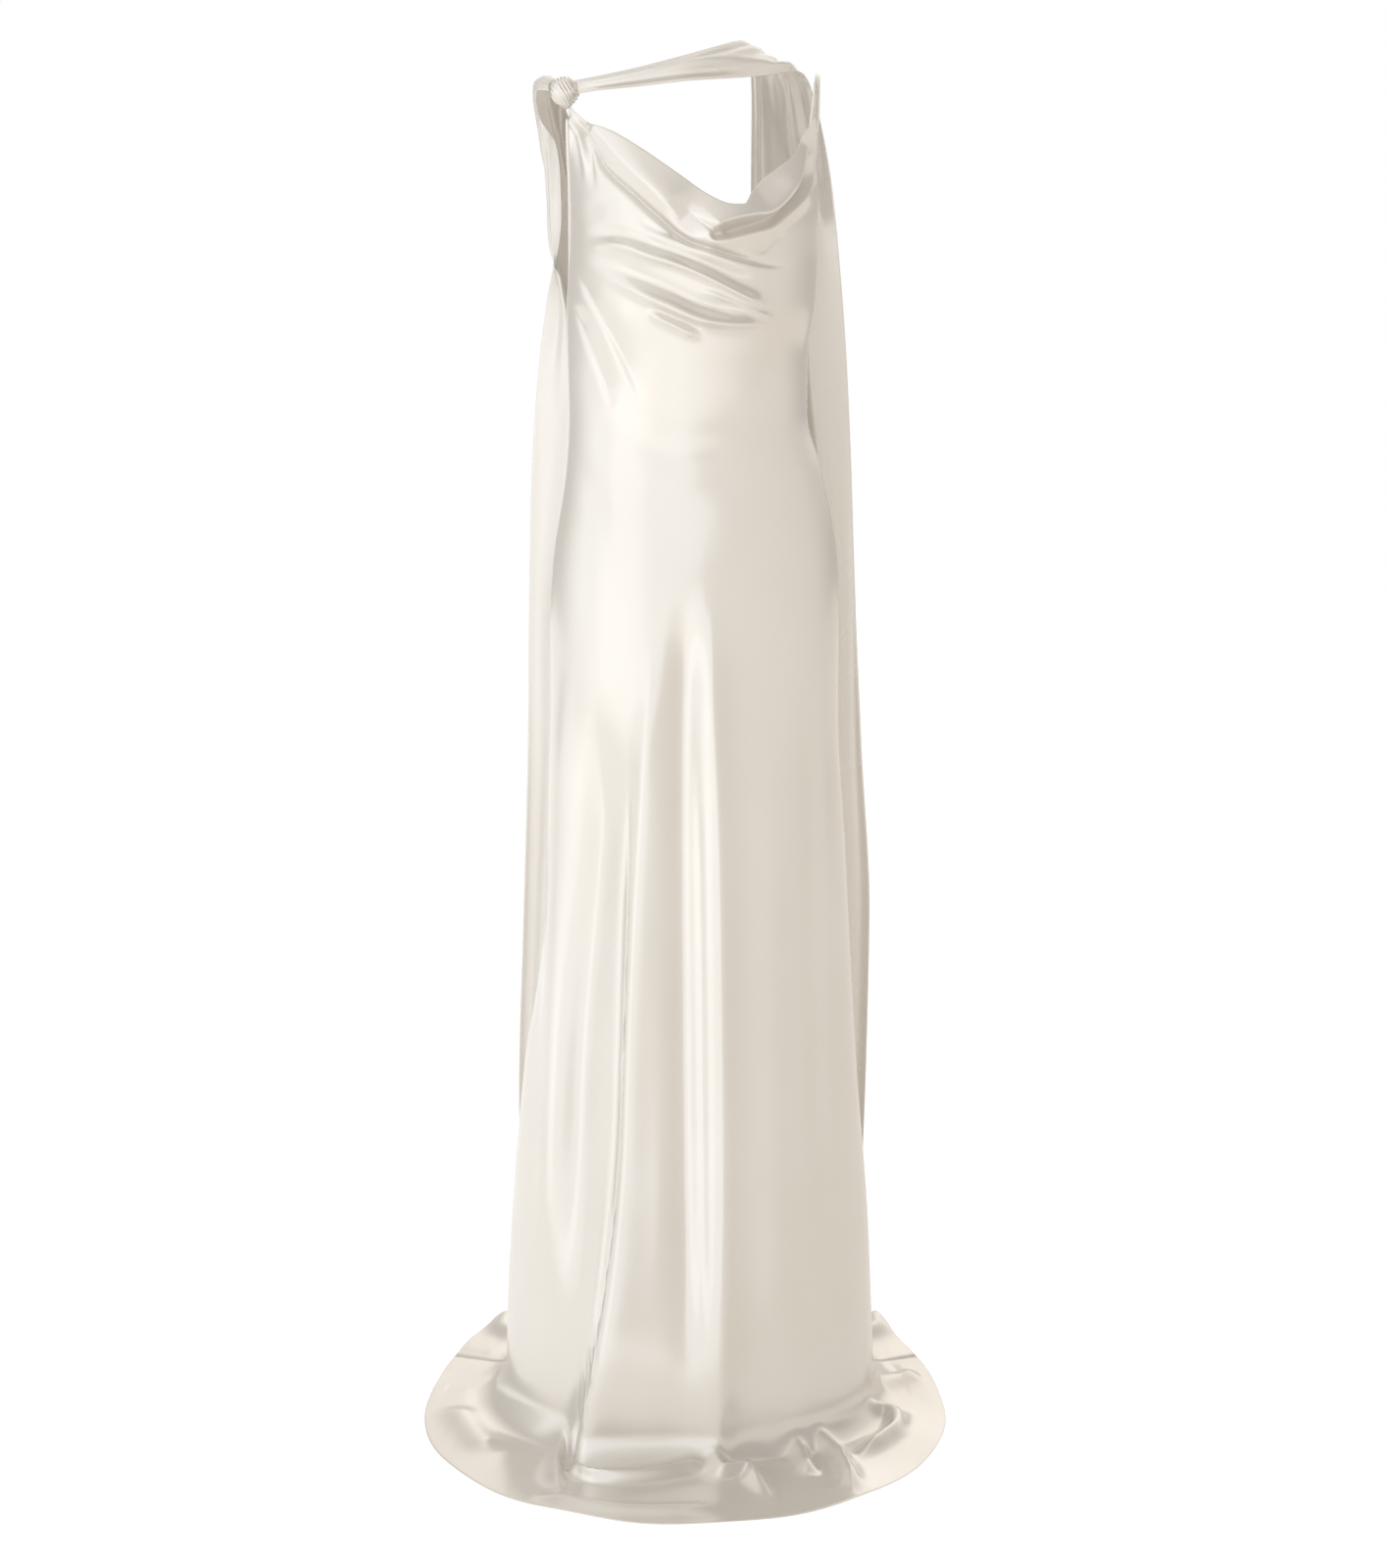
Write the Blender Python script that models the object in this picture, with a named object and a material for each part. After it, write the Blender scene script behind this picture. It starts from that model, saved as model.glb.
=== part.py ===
"""Bias-cut satin wedding gown with a cowl neck, a shoulder knot and a knotted scarf.

The gown keeps its worn, hollow form.  Metres, +Z up, +X to the wearer's left, -Y to the front.
The origin lies midway between the two shoulder supports, SHOULDER_HEIGHT above the floor.
Tables give heights above the floor; placed() turns them into the model's own coordinates.
"""
import math

import bmesh
import bpy
import numpy as np

# ------------------------------------------------------------------ driving dimensions, metres
SHOULDER_HEIGHT = 1.45
CLOTH = 0.0015
SEAM_GAP = 0.0003
STRAP_RADIUS = 0.0022
BINDING_HALF_WIDTH = 0.0026
BINDING_HALF_THICKNESS = 0.0012
KNOT_CENTRE = (-0.1295, -0.0300, 1.4335)
KNOT_RADII = (0.0160, 0.0185, 0.0165)
KNOT_PLEATS = 7
KNOT_PLEAT_DEPTH = 0.0007
KNOT_PLEAT_LEAN = math.radians(-50)
KNOT_NARROWING = 0.28
CHEST_LINE = 1.19
BEND_HEIGHT = 0.038
FLOOR_REST = 0.0006

HEM_CENTRE = (-0.0045, -0.045)
HEM_HALF_WIDTH = 0.2880
HEM_FRONT_SPREAD = 0.009
HEM_FRONT_REACH = 0.3215
HEM_BACK_REACH = 0.475

SATIN_COLOUR = (0.80, 0.76, 0.69)
SATIN_ROUGHNESS = 0.33
SATIN_METALLIC = 0.35

# The gown's level rings: half widths left and right of the view, the angle from the front at
# which each side edge lies (degrees), and the depths in front of and behind the middle.
GOWN_COLUMNS = ("height", "left", "right", "left_edge", "right_edge", "front", "back")
GOWN = (
    (1.440, 0.1500, 0.1950, 55.0, 40.0, 0.062, 0.050),
    (1.410, 0.1410, 0.1710, 62.5, 50.1, 0.078, 0.062),
    (1.360, 0.1300, 0.1454, 74.9, 67.7, 0.100, 0.085),
    (1.310, 0.1263, 0.1372, 84.5, 82.9, 0.114, 0.098),
    (1.260, 0.1268, 0.1365, 92.0, 92.0, 0.121, 0.102),
    (1.215, 0.1300, 0.1340, 98.0, 98.0, 0.120, 0.102),
    (1.160, 0.1295, 0.1265, 98.0, 98.0, 0.108, 0.095),
    (1.100, 0.1285, 0.1265, 98.0, 98.0, 0.098, 0.086),
    (1.040, 0.1320, 0.1425, 98.0, 98.0, 0.097, 0.090),
    (0.945, 0.1465, 0.1600, 99.0, 99.0, 0.108, 0.120),
    (0.860, 0.1505, 0.1620, 100.0, 100.0, 0.111, 0.130),
    (0.760, 0.1500, 0.1625, 102.0, 102.0, 0.113, 0.132),
    (0.640, 0.1535, 0.1705, 103.0, 103.0, 0.120, 0.138),
    (0.515, 0.1660, 0.1775, 104.0, 104.0, 0.132, 0.150),
    (0.385, 0.1825, 0.1855, 106.0, 106.0, 0.150, 0.172),
    (0.210, 0.1985, 0.2000, 108.0, 108.0, 0.178, 0.212),
    (0.100, 0.2045, 0.2050, 109.0, 109.0, 0.194, 0.235),
    (0.000, 0.2060, 0.2100, 110.0, 110.0, 0.202, 0.250),
)

# The slanted cowl neckline: distance right of the middle, and height.
NECKLINE_COLUMNS = ("across", "height")
NECKLINE = (
    (-0.1252, 1.4192),
    (-0.1100, 1.4045),
    (-0.0710, 1.3860),
    (-0.0440, 1.3690),
    (-0.0080, 1.3440),
    (0.0190, 1.3260),
    (0.0400, 1.3165),
    (0.0530, 1.3160),
    (0.0640, 1.3290),
    (0.0750, 1.3410),
    (0.0910, 1.3540),
    (0.1080, 1.3690),
    (0.1190, 1.3870),
    (0.1310, 1.4060),
)

# The back's scooped top edge: 0 at the centre back, 1 at the side seam, and height.
BACK_EDGE_COLUMNS = ("out", "height")
BACK_EDGE = (
    (0.00, 1.020),
    (0.15, 1.034),
    (0.30, 1.092),
    (0.42, 1.166),
    (0.49, 1.199),
    (0.62, 1.200),
    (0.80, 1.205),
    (1.00, 1.213),
)

# Folds of the front and of the back.  Rise is how far the cloth stands out (negative sinks),
# above and below are the half widths on the two sides of the line, and the line runs through
# (across, height) points.  "Above" is to the left of the line's direction of travel.
FOLD_COLUMNS = ("name", "rise", "above", "below", "line")
FRONT_FOLDS = (
    ("neck roll", 0.006, 0.012, 0.013,
     ((-0.118, 1.398), (-0.062, 1.365), (-0.020, 1.335), (0.030, 1.306), (0.070, 1.300),
      (0.100, 1.322), (0.124, 1.378))),
    ("inner flap", -0.014, 0.016, 0.011,
     ((0.050, 1.322), (0.078, 1.331), (0.098, 1.348), (0.114, 1.376))),
    ("second roll trough", -0.009, 0.009, 0.008,
     ((0.037, 1.286), (0.064, 1.292), (0.088, 1.305), (0.106, 1.327), (0.121, 1.370))),
    ("second roll", 0.007, 0.009, 0.012,
     ((0.024, 1.275), (0.055, 1.281), (0.086, 1.291), (0.112, 1.315), (0.131, 1.365))),
    ("knot sweep trough", -0.007, 0.010, 0.009,
     ((-0.120, 1.400), (-0.093, 1.362), (-0.058, 1.327), (-0.008, 1.286), (0.046, 1.264),
      (0.108, 1.257))),
    ("knot sweep ridge", 0.006, 0.009, 0.012,
     ((-0.098, 1.350), (-0.058, 1.312), (-0.008, 1.271), (0.046, 1.249), (0.104, 1.245))),
    ("bust trough", -0.007, 0.009, 0.009,
     ((-0.090, 1.286), (-0.035, 1.271), (0.019, 1.248), (0.086, 1.214))),
    ("lower bust trough", -0.006, 0.009, 0.009,
     ((-0.090, 1.253), (-0.035, 1.229), (0.019, 1.210), (0.066, 1.199))),
    ("waist trough", -0.005, 0.008, 0.008,
     ((-0.040, 1.210), (-0.017, 1.197), (0.014, 1.181))),
    ("side drag", -0.004, 0.010, 0.010,
     ((-0.117, 1.249), (-0.096, 1.197), (-0.069, 1.158), (-0.048, 1.115))),
    ("centre valley", -0.012, 0.017, 0.021,
     ((-0.012, 0.880), (-0.022, 0.780), (-0.030, 0.640), (-0.034, 0.450), (-0.038, 0.250),
      (-0.042, 0.060))),
    ("centre ridge", 0.014, 0.016, 0.015,
     ((0.006, 0.880), (0.008, 0.780), (0.012, 0.600), (0.012, 0.400), (0.014, 0.180),
      (0.022, 0.030))),
    ("left ridge", 0.014, 0.018, 0.015,
     ((-0.049, 0.800), (-0.060, 0.660), (-0.066, 0.500), (-0.078, 0.300), (-0.090, 0.160),
      (-0.118, 0.010))),
    ("left valley", -0.011, 0.022, 0.018,
     ((-0.098, 0.780), (-0.108, 0.600), (-0.114, 0.400), (-0.122, 0.200), (-0.145, 0.080))),
    ("right ridge", 0.009, 0.026, 0.030,
     ((0.098, 0.700), (0.092, 0.520), (0.094, 0.300), (0.100, 0.080))),
)
BACK_FOLDS = (
    ("scoop drape", -0.007, 0.014, 0.014,
     ((-0.062, 1.090), (-0.034, 1.010), (0.000, 0.975), (0.036, 1.010), (0.064, 1.090))),
    ("scoop roll", 0.006, 0.012, 0.014,
     ((-0.064, 1.130), (-0.034, 1.048), (0.000, 1.008), (0.036, 1.048), (0.066, 1.130))),
    ("seat drape", -0.005, 0.016, 0.016,
     ((-0.090, 1.060), (-0.046, 0.965), (0.000, 0.935), (0.050, 0.970), (0.094, 1.050))),
    ("back left ridge", 0.013, 0.020, 0.020,
     ((-0.080, 0.800), (-0.096, 0.500), (-0.112, 0.250), (-0.122, 0.020))),
    ("back left valley", -0.011, 0.020, 0.020,
     ((-0.040, 0.820), (-0.050, 0.500), (-0.060, 0.250), (-0.066, 0.020))),
    ("back middle ridge", 0.014, 0.022, 0.018,
     ((-0.004, 0.790), (-0.008, 0.500), (-0.010, 0.250), (-0.012, 0.020))),
    ("back right valley", -0.011, 0.020, 0.022,
     ((0.036, 0.830), (0.044, 0.500), (0.052, 0.250), (0.058, 0.020))),
    ("back right ridge", 0.013, 0.020, 0.020,
     ((0.082, 0.780), (0.098, 0.500), (0.110, 0.250), (0.120, 0.020))),
)

# Folds that lie on the floor, in plan: (across, forward or back) points.
FRONT_POOL_FOLDS = (
    ("left lobe", 0.013, 0.016, 0.020,
     ((-0.200, 0.020), (-0.178, -0.072), (-0.150, -0.112), (-0.128, -0.110))),
    ("hook", 0.010, 0.012, 0.012,
     ((-0.120, -0.150), (-0.132, -0.200), (-0.132, -0.270))),
    ("smile", 0.011, 0.014, 0.020,
     ((-0.118, -0.226), (-0.070, -0.236), (-0.020, -0.222), (0.020, -0.216))),
    ("swirl", 0.009, 0.010, 0.012,
     ((0.030, -0.222), (0.056, -0.240), (0.072, -0.252), (0.092, -0.296))),
    ("leaf", 0.012, 0.014, 0.016,
     ((0.112, -0.130), (0.144, -0.180), (0.166, -0.250))),
    ("right nub", 0.011, 0.012, 0.014,
     ((0.196, -0.040), (0.226, -0.066), (0.222, -0.104))),
)
BACK_POOL_FOLDS = (
    ("train left", 0.010, 0.018, 0.020,
     ((-0.116, 0.230), (-0.140, 0.300), (-0.150, 0.360))),
    ("train middle", 0.012, 0.022, 0.022,
     ((-0.010, 0.262), (-0.012, 0.330), (-0.004, 0.400))),
    ("train right", 0.010, 0.018, 0.020,
     ((0.118, 0.230), (0.142, 0.290), (0.158, 0.350))),
    ("train left lap", 0.009, 0.016, 0.018,
     ((-0.206, 0.150), (-0.224, 0.200), (-0.214, 0.262))),
    ("train right lap", 0.009, 0.016, 0.018,
     ((0.206, 0.160), (0.228, 0.196), (0.222, 0.250))),
)

# The scarf from the knot across the neck, over the shoulder and down the back on the right of
# the view.  Each row is a section of four points (x, y, height) from its lower or outer edge to
# its upper or inner edge.  Row RIDGE_ROW is the fold over the shoulder.
BAND_START_DIRECTIONS = ((0.8, -0.50, -0.10), (0.8, -0.60, 0.20), (0.8, -0.50, 0.48), (0.7, -0.30, 0.70))
LEFT_SCARF = (
    ((-0.0950, -0.0500, 1.4340), (-0.0948, -0.0530, 1.4390),
     (-0.0950, -0.0525, 1.4440), (-0.0960, -0.0470, 1.4485)),
    ((-0.0530, -0.0560, 1.4375), (-0.0528, -0.0602, 1.4440),
     (-0.0532, -0.0595, 1.4510), (-0.0540, -0.0505, 1.4570)),
    ((0.0000, -0.0550, 1.4435), (-0.0006, -0.0595, 1.4520),
     (-0.0018, -0.0570, 1.4620), (-0.0030, -0.0450, 1.4705)),
    ((0.0450, -0.0400, 1.4475), (0.0420, -0.0440, 1.4585),
     (0.0380, -0.0400, 1.4710), (0.0330, -0.0260, 1.4820)),
    ((0.0820, -0.0200, 1.4520), (0.0730, -0.0215, 1.4645),
     (0.0620, -0.0170, 1.4780), (0.0510, -0.0070, 1.4880)),
    ((0.1130, 0.0010, 1.4575), (0.0955, 0.0020, 1.4680),
     (0.0770, 0.0040, 1.4800), (0.0605, 0.0060, 1.4885)),
    ((0.1245, 0.0190, 1.4520), (0.1050, 0.0270, 1.4600),
     (0.0840, 0.0310, 1.4700), (0.0645, 0.0310, 1.4790)),
    ((0.1325, 0.0410, 1.4360), (0.1128, 0.0520, 1.4410),
     (0.0890, 0.0590, 1.4470), (0.0670, 0.0580, 1.4540)),
    ((0.1435, 0.0640, 1.4000), (0.1195, 0.0740, 1.4040),
     (0.0920, 0.0850, 1.4090), (0.0680, 0.0820, 1.4150)),
    ((0.1545, 0.0820, 1.3450), (0.1250, 0.0900, 1.3480),
     (0.0940, 0.1040, 1.3540), (0.0680, 0.1000, 1.3600)),
    ((0.1635, 0.0960, 1.2700), (0.1290, 0.0970, 1.2700),
     (0.0960, 0.1140, 1.2700), (0.0680, 0.1120, 1.2700)),
    ((0.1725, 0.1070, 1.1700), (0.1250, 0.1010, 1.1700),
     (0.0920, 0.1190, 1.1700), (0.0670, 0.1180, 1.1700)),
    ((0.1795, 0.1140, 1.0500), (0.1360, 0.1040, 1.0500),
     (0.0980, 0.1240, 1.0500), (0.0640, 0.1220, 1.0500)),
    ((0.1860, 0.1220, 0.9000), (0.1480, 0.1130, 0.9000),
     (0.1000, 0.1420, 0.9000), (0.0580, 0.1480, 0.9000)),
    ((0.1955, 0.1260, 0.7200), (0.1520, 0.1180, 0.7200),
     (0.0980, 0.1480, 0.7200), (0.0500, 0.1560, 0.7200)),
    ((0.2075, 0.1400, 0.5200), (0.1590, 0.1340, 0.5200),
     (0.0960, 0.1680, 0.5200), (0.0420, 0.1780, 0.5200)),
    ((0.2065, 0.1620, 0.3400), (0.1620, 0.1570, 0.3400),
     (0.0930, 0.1960, 0.3400), (0.0360, 0.2080, 0.3400)),
    ((0.2035, 0.1860, 0.1700), (0.1640, 0.1850, 0.1680),
     (0.0910, 0.2280, 0.1640), (0.0320, 0.2400, 0.1600)),
)
RIDGE_ROW = 5
RIDGE_GAP_STEP = 0.009

# The scarf's other end: it rolls out of the knot in a loop, then hangs on the left of the view.
LOOP_START_DIRECTIONS = (
    (-0.9, -0.40, 0.10), (-0.9, -0.15, 0.40), (-0.80, 0.15, 0.65), (-0.60, 0.40, 0.80))
RIGHT_SCARF = (
    ((-0.1580, -0.0320, 1.4365), (-0.1600, -0.0190, 1.4450),
     (-0.1540, -0.0060, 1.4520), (-0.1460, 0.0010, 1.4530)),
    ((-0.1605, -0.0200, 1.4250), (-0.1630, 0.0000, 1.4310),
     (-0.1530, 0.0270, 1.4370), (-0.1370, 0.0330, 1.4390)),
    ((-0.1575, -0.0100, 1.4085), (-0.1610, 0.0120, 1.4110),
     (-0.1500, 0.0500, 1.4120), (-0.1300, 0.0590, 1.4150)),
    ((-0.1490, 0.0000, 1.3950), (-0.1575, 0.0240, 1.3890),
     (-0.1430, 0.0720, 1.3830), (-0.1140, 0.0830, 1.3860)),
    ((-0.1415, 0.0110, 1.3840), (-0.1550, 0.0360, 1.3620),
     (-0.1370, 0.0860, 1.3480), (-0.0940, 0.0985, 1.3500)),
    ((-0.1375, 0.0240, 1.3450), (-0.1535, 0.0480, 1.3240),
     (-0.1300, 0.0950, 1.3050), (-0.0780, 0.1080, 1.3000)),
    ((-0.1385, 0.0360, 1.2900), (-0.1505, 0.0600, 1.2720),
     (-0.1280, 0.0980, 1.2520), (-0.0680, 0.1140, 1.2410)),
    ((-0.1540, 0.0720, 1.2220), (-0.1270, 0.0690, 1.2040),
     (-0.1120, 0.1030, 1.1880), (-0.0620, 0.1185, 1.1800)),
    ((-0.1660, 0.0900, 1.1350), (-0.1250, 0.0780, 1.1280),
     (-0.1030, 0.1120, 1.1180), (-0.0560, 0.1240, 1.1100)),
    ((-0.1745, 0.0990, 1.0200), (-0.1300, 0.0870, 1.0200),
     (-0.1030, 0.1180, 1.0200), (-0.0520, 0.1300, 1.0200)),
    ((-0.1800, 0.1130, 0.8600), (-0.1430, 0.0990, 0.8600),
     (-0.1060, 0.1360, 0.8600), (-0.0490, 0.1500, 0.8600)),
    ((-0.1835, 0.1180, 0.7000), (-0.1460, 0.1050, 0.7000),
     (-0.1080, 0.1420, 0.7000), (-0.0450, 0.1550, 0.7000)),
    ((-0.1915, 0.1340, 0.5000), (-0.1570, 0.1210, 0.5000),
     (-0.1110, 0.1600, 0.5000), (-0.0400, 0.1760, 0.5000)),
    ((-0.1990, 0.1600, 0.3300), (-0.1670, 0.1470, 0.3300),
     (-0.1130, 0.1870, 0.3300), (-0.0360, 0.2060, 0.3300)),
    ((-0.2005, 0.1860, 0.1500), (-0.1700, 0.1760, 0.1480),
     (-0.1140, 0.2200, 0.1440), (-0.0320, 0.2420, 0.1400)),
)
TAIL_WAVES = 2.5
TAIL_WAVE_RISE = 0.006
TAIL_WAVE_START = 1.30
TAIL_WAVE_FULL = 0.50

# Strap routes, knots to back edge; their sewn ends are worked out from the gown.
FRONT_STRAP_FOOT = (-0.96, 0.955)
BACK_STRAP_ROW = -0.97
BACK_STRAP_PLACE = 0.49
KNOT_STRAP_DIRECTION = (-0.25, 0.85, -0.35)
BINDING_SPAN = (-0.94, -0.12)
SHOULDER_STRAP_ROUTE = (
    (0.1290, -0.0400, 1.4150),
    (0.1320, -0.0320, 1.4380),
    (0.1345, -0.0130, 1.4510),
    (0.1357, 0.0060, 1.4535),
    (0.1367, 0.0220, 1.4440),
    (0.1370, 0.0350, 1.4200),
    (0.1350, 0.0480, 1.3800),
    (0.1280, 0.0610, 1.3250),
    (0.1130, 0.0720, 1.2680),
    (0.0905, 0.0675, 1.2250),
)
KNOT_STRAP_ROUTE = (
    (-0.1360, 0.0010, 1.4220),
    (-0.1360, 0.0200, 1.3990),
    (-0.1300, 0.0430, 1.3540),
    (-0.1170, 0.0610, 1.2950),
    (-0.0890, 0.0665, 1.2260),
)

# Where folds fade: near the seams (place), on to the floor (row) and at their own ends (share).
SEAM_FADE = (0.86, 0.98)
FLOOR_FADE = (1.2, 1.9)
FOLD_FADE_IN = (-0.02, 0.22)
FOLD_FADE_OUT = (0.80, 1.02)

# How finely each piece is divided.
PROBE = 1e-3
FOLD_STEPS = 6
DENSITY_STEPS = 801
CROWD_CENTRE = -0.12
CROWD_SPREAD = 0.24
CROWD_EXTRA = 1.7
FRONT_COLUMNS = 37
FRONT_BODICE_ROWS = 13
SKIRT_ROWS = 22
BACK_COLUMNS = 29
BACK_UPPER_ROWS = 5
FLOOR_ROWS = np.array([1.33, 1.67, 2.0, 2.14, 2.28, 2.43, 2.57, 2.71, 2.86, 3.0])
SCARF_COLUMN_COUNT = 13
BAND_ROWS = 16
TAIL_ROWS = 24
LOOP_EXTRA_ROWS = 8
STRAP_POINTS = 34
STRAP_REST = 1.6 * SEAM_GAP
KNOT_SEGMENTS = 26
KNOT_RINGS = 16
BINDING_POINTS = 16
BINDING_SIDES = 10
BACK_LEVEL = CHEST_LINE + (BEND_HEIGHT - CHEST_LINE) * (BACK_UPPER_ROWS - 1) / SKIRT_ROWS


# ------------------------------------------------------------------ tables and curves
def column(table, names, name):
    """One named column of a table, as an array."""
    return np.array([row[names.index(name)] for row in table], dtype=float)


def curve_through(knots, values, at, level_turns=True):
    """Smooth curve through (knot, value) pairs: a cubic Hermite with three-point tangents.

    With level_turns it is level at a knot where the values turn or stand still.  It runs straight
    on past its ends.
    """
    order = np.argsort(knots)
    knots = np.asarray(knots, dtype=float)[order]
    values = np.asarray(values, dtype=float)[order]
    tangents = np.gradient(values, knots, axis=0)
    if level_turns:
        rises = np.diff(values, axis=0)
        tangents[1:-1] = np.where(rises[1:] * rises[:-1] > 0, tangents[1:-1], 0.0)
    at = np.asarray(at, dtype=float)
    clipped = np.clip(at, knots[0], knots[-1])
    index = np.clip(np.searchsorted(knots, clipped) - 1, 0, len(knots) - 2)
    span = knots[index + 1] - knots[index]
    t = (clipped - knots[index]) / span
    past = at - clipped
    if values.ndim > 1:
        t, span, past = t[..., None], span[..., None], past[..., None]
    ahead = t * t * (3 - 2 * t)
    end_slope = np.where(past > 0, tangents[-1], tangents[0])
    return (values[index] * (1 - ahead) + values[index + 1] * ahead
            + tangents[index] * span * t * (1 - t) ** 2
            - tangents[index + 1] * span * t * t * (1 - t)
            + end_slope * past)


def ease(low, high, value):
    """0 below low, 1 above high, with a smooth step between."""
    t = np.clip((value - low) / (high - low), 0.0, 1.0)
    return t * t * (3 - 2 * t)


def placed(points):
    """Turn heights above the floor into model coordinates."""
    points = np.array(points, dtype=float)
    points[..., 2] -= SHOULDER_HEIGHT
    return points


def unit(vectors):
    """Vectors scaled to length one."""
    return vectors / np.maximum(np.linalg.norm(vectors, axis=-1, keepdims=True), 1e-12)


def surface_normal(surface, row, place):
    """Outward unit normals of surface(row, place): down the rows crossed with along the columns."""
    down = surface(row + PROBE, place) - surface(row - PROBE, place)
    along = surface(row, place + PROBE) - surface(row, place - PROBE)
    return unit(np.cross(down, along))


# ------------------------------------------------------------------ folds
def fold_height(first, second, folds):
    """Height of a set of folds at plan positions (first, second).

    Each fold is a bell-shaped ridge or trough whose width differs on its two sides, and which
    fades in and out along its line.
    """
    total = np.zeros_like(first)
    for entry in folds:
        fold = dict(zip(FOLD_COLUMNS, entry))
        line = np.array(fold["line"], dtype=float)
        steps = np.linspace(0, len(line) - 1, FOLD_STEPS * (len(line) - 1) + 1)
        path = curve_through(np.arange(len(line)), line, steps)
        start = path[:-1]
        run = path[1:] - start
        length_squared = (run ** 2).sum(axis=1)
        offset_x = first[..., None] - start[:, 0]
        offset_y = second[..., None] - start[:, 1]
        t = np.clip((offset_x * run[:, 0] + offset_y * run[:, 1]) / length_squared, 0, 1)
        gap_x = offset_x - t * run[:, 0]
        gap_y = offset_y - t * run[:, 1]
        gap = np.hypot(gap_x, gap_y)
        nearest = gap.argmin(axis=-1)[..., None]
        distance = np.take_along_axis(gap, nearest, -1)[..., 0]
        side = run[:, 0] * gap_y - run[:, 1] * gap_x
        left_side = np.take_along_axis(side, nearest, -1)[..., 0] > 0
        along = (nearest[..., 0] + np.take_along_axis(t, nearest, -1)[..., 0]) / len(run)
        width = np.where(left_side, fold["above"], fold["below"])
        fade = ease(*FOLD_FADE_IN, along) * (1 - ease(*FOLD_FADE_OUT, along))
        total += fold["rise"] * np.exp(-(distance / width) ** 2) * fade
    return total


# ------------------------------------------------------------------ the gown's form
def gown_point(angle, height, is_left):
    """Point on the gown's ring at an angle from the front (radians) and a height."""
    heights = column(GOWN, GOWN_COLUMNS, "height")
    width = ring_width(height, is_left)
    front = curve_through(heights, column(GOWN, GOWN_COLUMNS, "front"), height)
    back = curve_through(heights, column(GOWN, GOWN_COLUMNS, "back"), height)
    side = np.where(is_left, -1.0, 1.0)
    x = side * width * np.sin(angle)
    y = np.where(angle < math.pi / 2, -front * np.cos(angle), -back * np.cos(angle))
    return np.stack(np.broadcast_arrays(x, y, height), axis=-1)


def ring_width(height, is_left):
    """Half width of the gown's ring on one side at a height."""
    heights = column(GOWN, GOWN_COLUMNS, "height")
    left = curve_through(heights, column(GOWN, GOWN_COLUMNS, "left"), height)
    right = curve_through(heights, column(GOWN, GOWN_COLUMNS, "right"), height)
    return np.where(is_left, left, right)


def edge_angle(height, is_left):
    """Angle from the front, in radians, of the side seam or armhole edge at a height."""
    heights = column(GOWN, GOWN_COLUMNS, "height")
    left = curve_through(heights, column(GOWN, GOWN_COLUMNS, "left_edge"), height)
    right = curve_through(heights, column(GOWN, GOWN_COLUMNS, "right_edge"), height)
    return np.radians(np.where(is_left, left, right))


def hem_point(angle, is_left):
    """Point of the hem on the floor for an angle from the front."""
    side = np.where(is_left, -1.0, 1.0)
    reach = np.where(angle < math.pi / 2, HEM_FRONT_REACH, HEM_BACK_REACH)
    x = HEM_CENTRE[0] + side * (HEM_HALF_WIDTH + HEM_FRONT_SPREAD * np.cos(angle)) * np.sin(angle)
    y = HEM_CENTRE[1] - reach * np.cos(angle)
    return x, y


def half_seam(height, is_left):
    """Half the seam gap as an angle at this height."""
    radius = np.linalg.norm(gown_point(edge_angle(height, is_left), height, is_left)[..., :2], axis=-1)
    return 0.5 * SEAM_GAP / radius


def pool(angle, is_left, run):
    """The bend at the floor and the pool: run 0 to 1 is the bend, 1 to 2 the floor out to the hem."""
    foot = gown_point(angle, np.full_like(angle, BEND_HEIGHT), is_left)
    hem_x, hem_y = hem_point(angle, is_left)
    reach = np.hypot(hem_x - foot[..., 0], hem_y - foot[..., 1])
    out_x = (hem_x - foot[..., 0]) / reach
    out_y = (hem_y - foot[..., 1]) / reach
    radius = BEND_HEIGHT - CLOTH - FLOOR_REST
    turn = np.clip(run, 0, 1) * math.pi / 2
    beyond = np.clip(run - 1, 0, None) * (reach - radius)
    out = radius * (1 - np.cos(turn)) + beyond
    height = BEND_HEIGHT - radius * np.sin(turn)
    return np.stack((foot[..., 0] + out * out_x, foot[..., 1] + out * out_y, height), axis=-1)


def crowded(count):
    """Positions from -1 to 1 that lie closer together around CROWD_CENTRE."""
    fine = np.linspace(-1, 1, DENSITY_STEPS)
    density = 1 + CROWD_EXTRA * np.exp(-((fine - CROWD_CENTRE) / CROWD_SPREAD) ** 2)
    total = np.concatenate(([0], np.cumsum((density[1:] + density[:-1]) / 2)))
    return np.interp(np.linspace(0, total[-1], count), total, fine)


def front_base(row, place):
    """Base surface of the front: place -1 at the left seam to 1 at the right, row -1 to 3.

    Rows -1 to 0 run from the neckline to the chest line, 0 to 1 down the skirt, 1 to 2 round the
    bend at the floor and 2 to 3 out to the hem.
    """
    neck_x = column(NECKLINE, NECKLINE_COLUMNS, "across")
    neck_h = column(NECKLINE, NECKLINE_COLUMNS, "height")
    neck_width = ring_width(neck_h, neck_x < 0)
    neck_angle = np.arcsin(np.clip(np.abs(neck_x) / neck_width, 0, 0.999))
    neck_place = np.sign(neck_x) * neck_angle / edge_angle(neck_h, neck_x < 0)
    is_left = place < 0
    top = curve_through(neck_place, neck_h, place)
    height = top + (CHEST_LINE - top) * np.clip(row + 1, -0.05, 1)
    height = np.where(row > 0, CHEST_LINE + (BEND_HEIGHT - CHEST_LINE) * np.clip(row, 0, 1), height)
    angle = np.abs(place) * (edge_angle(height, is_left) - half_seam(height, is_left))
    wall = gown_point(angle, height, is_left)
    return np.where((row > 1)[..., None], pool(angle, is_left, row - 1), wall)


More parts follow.
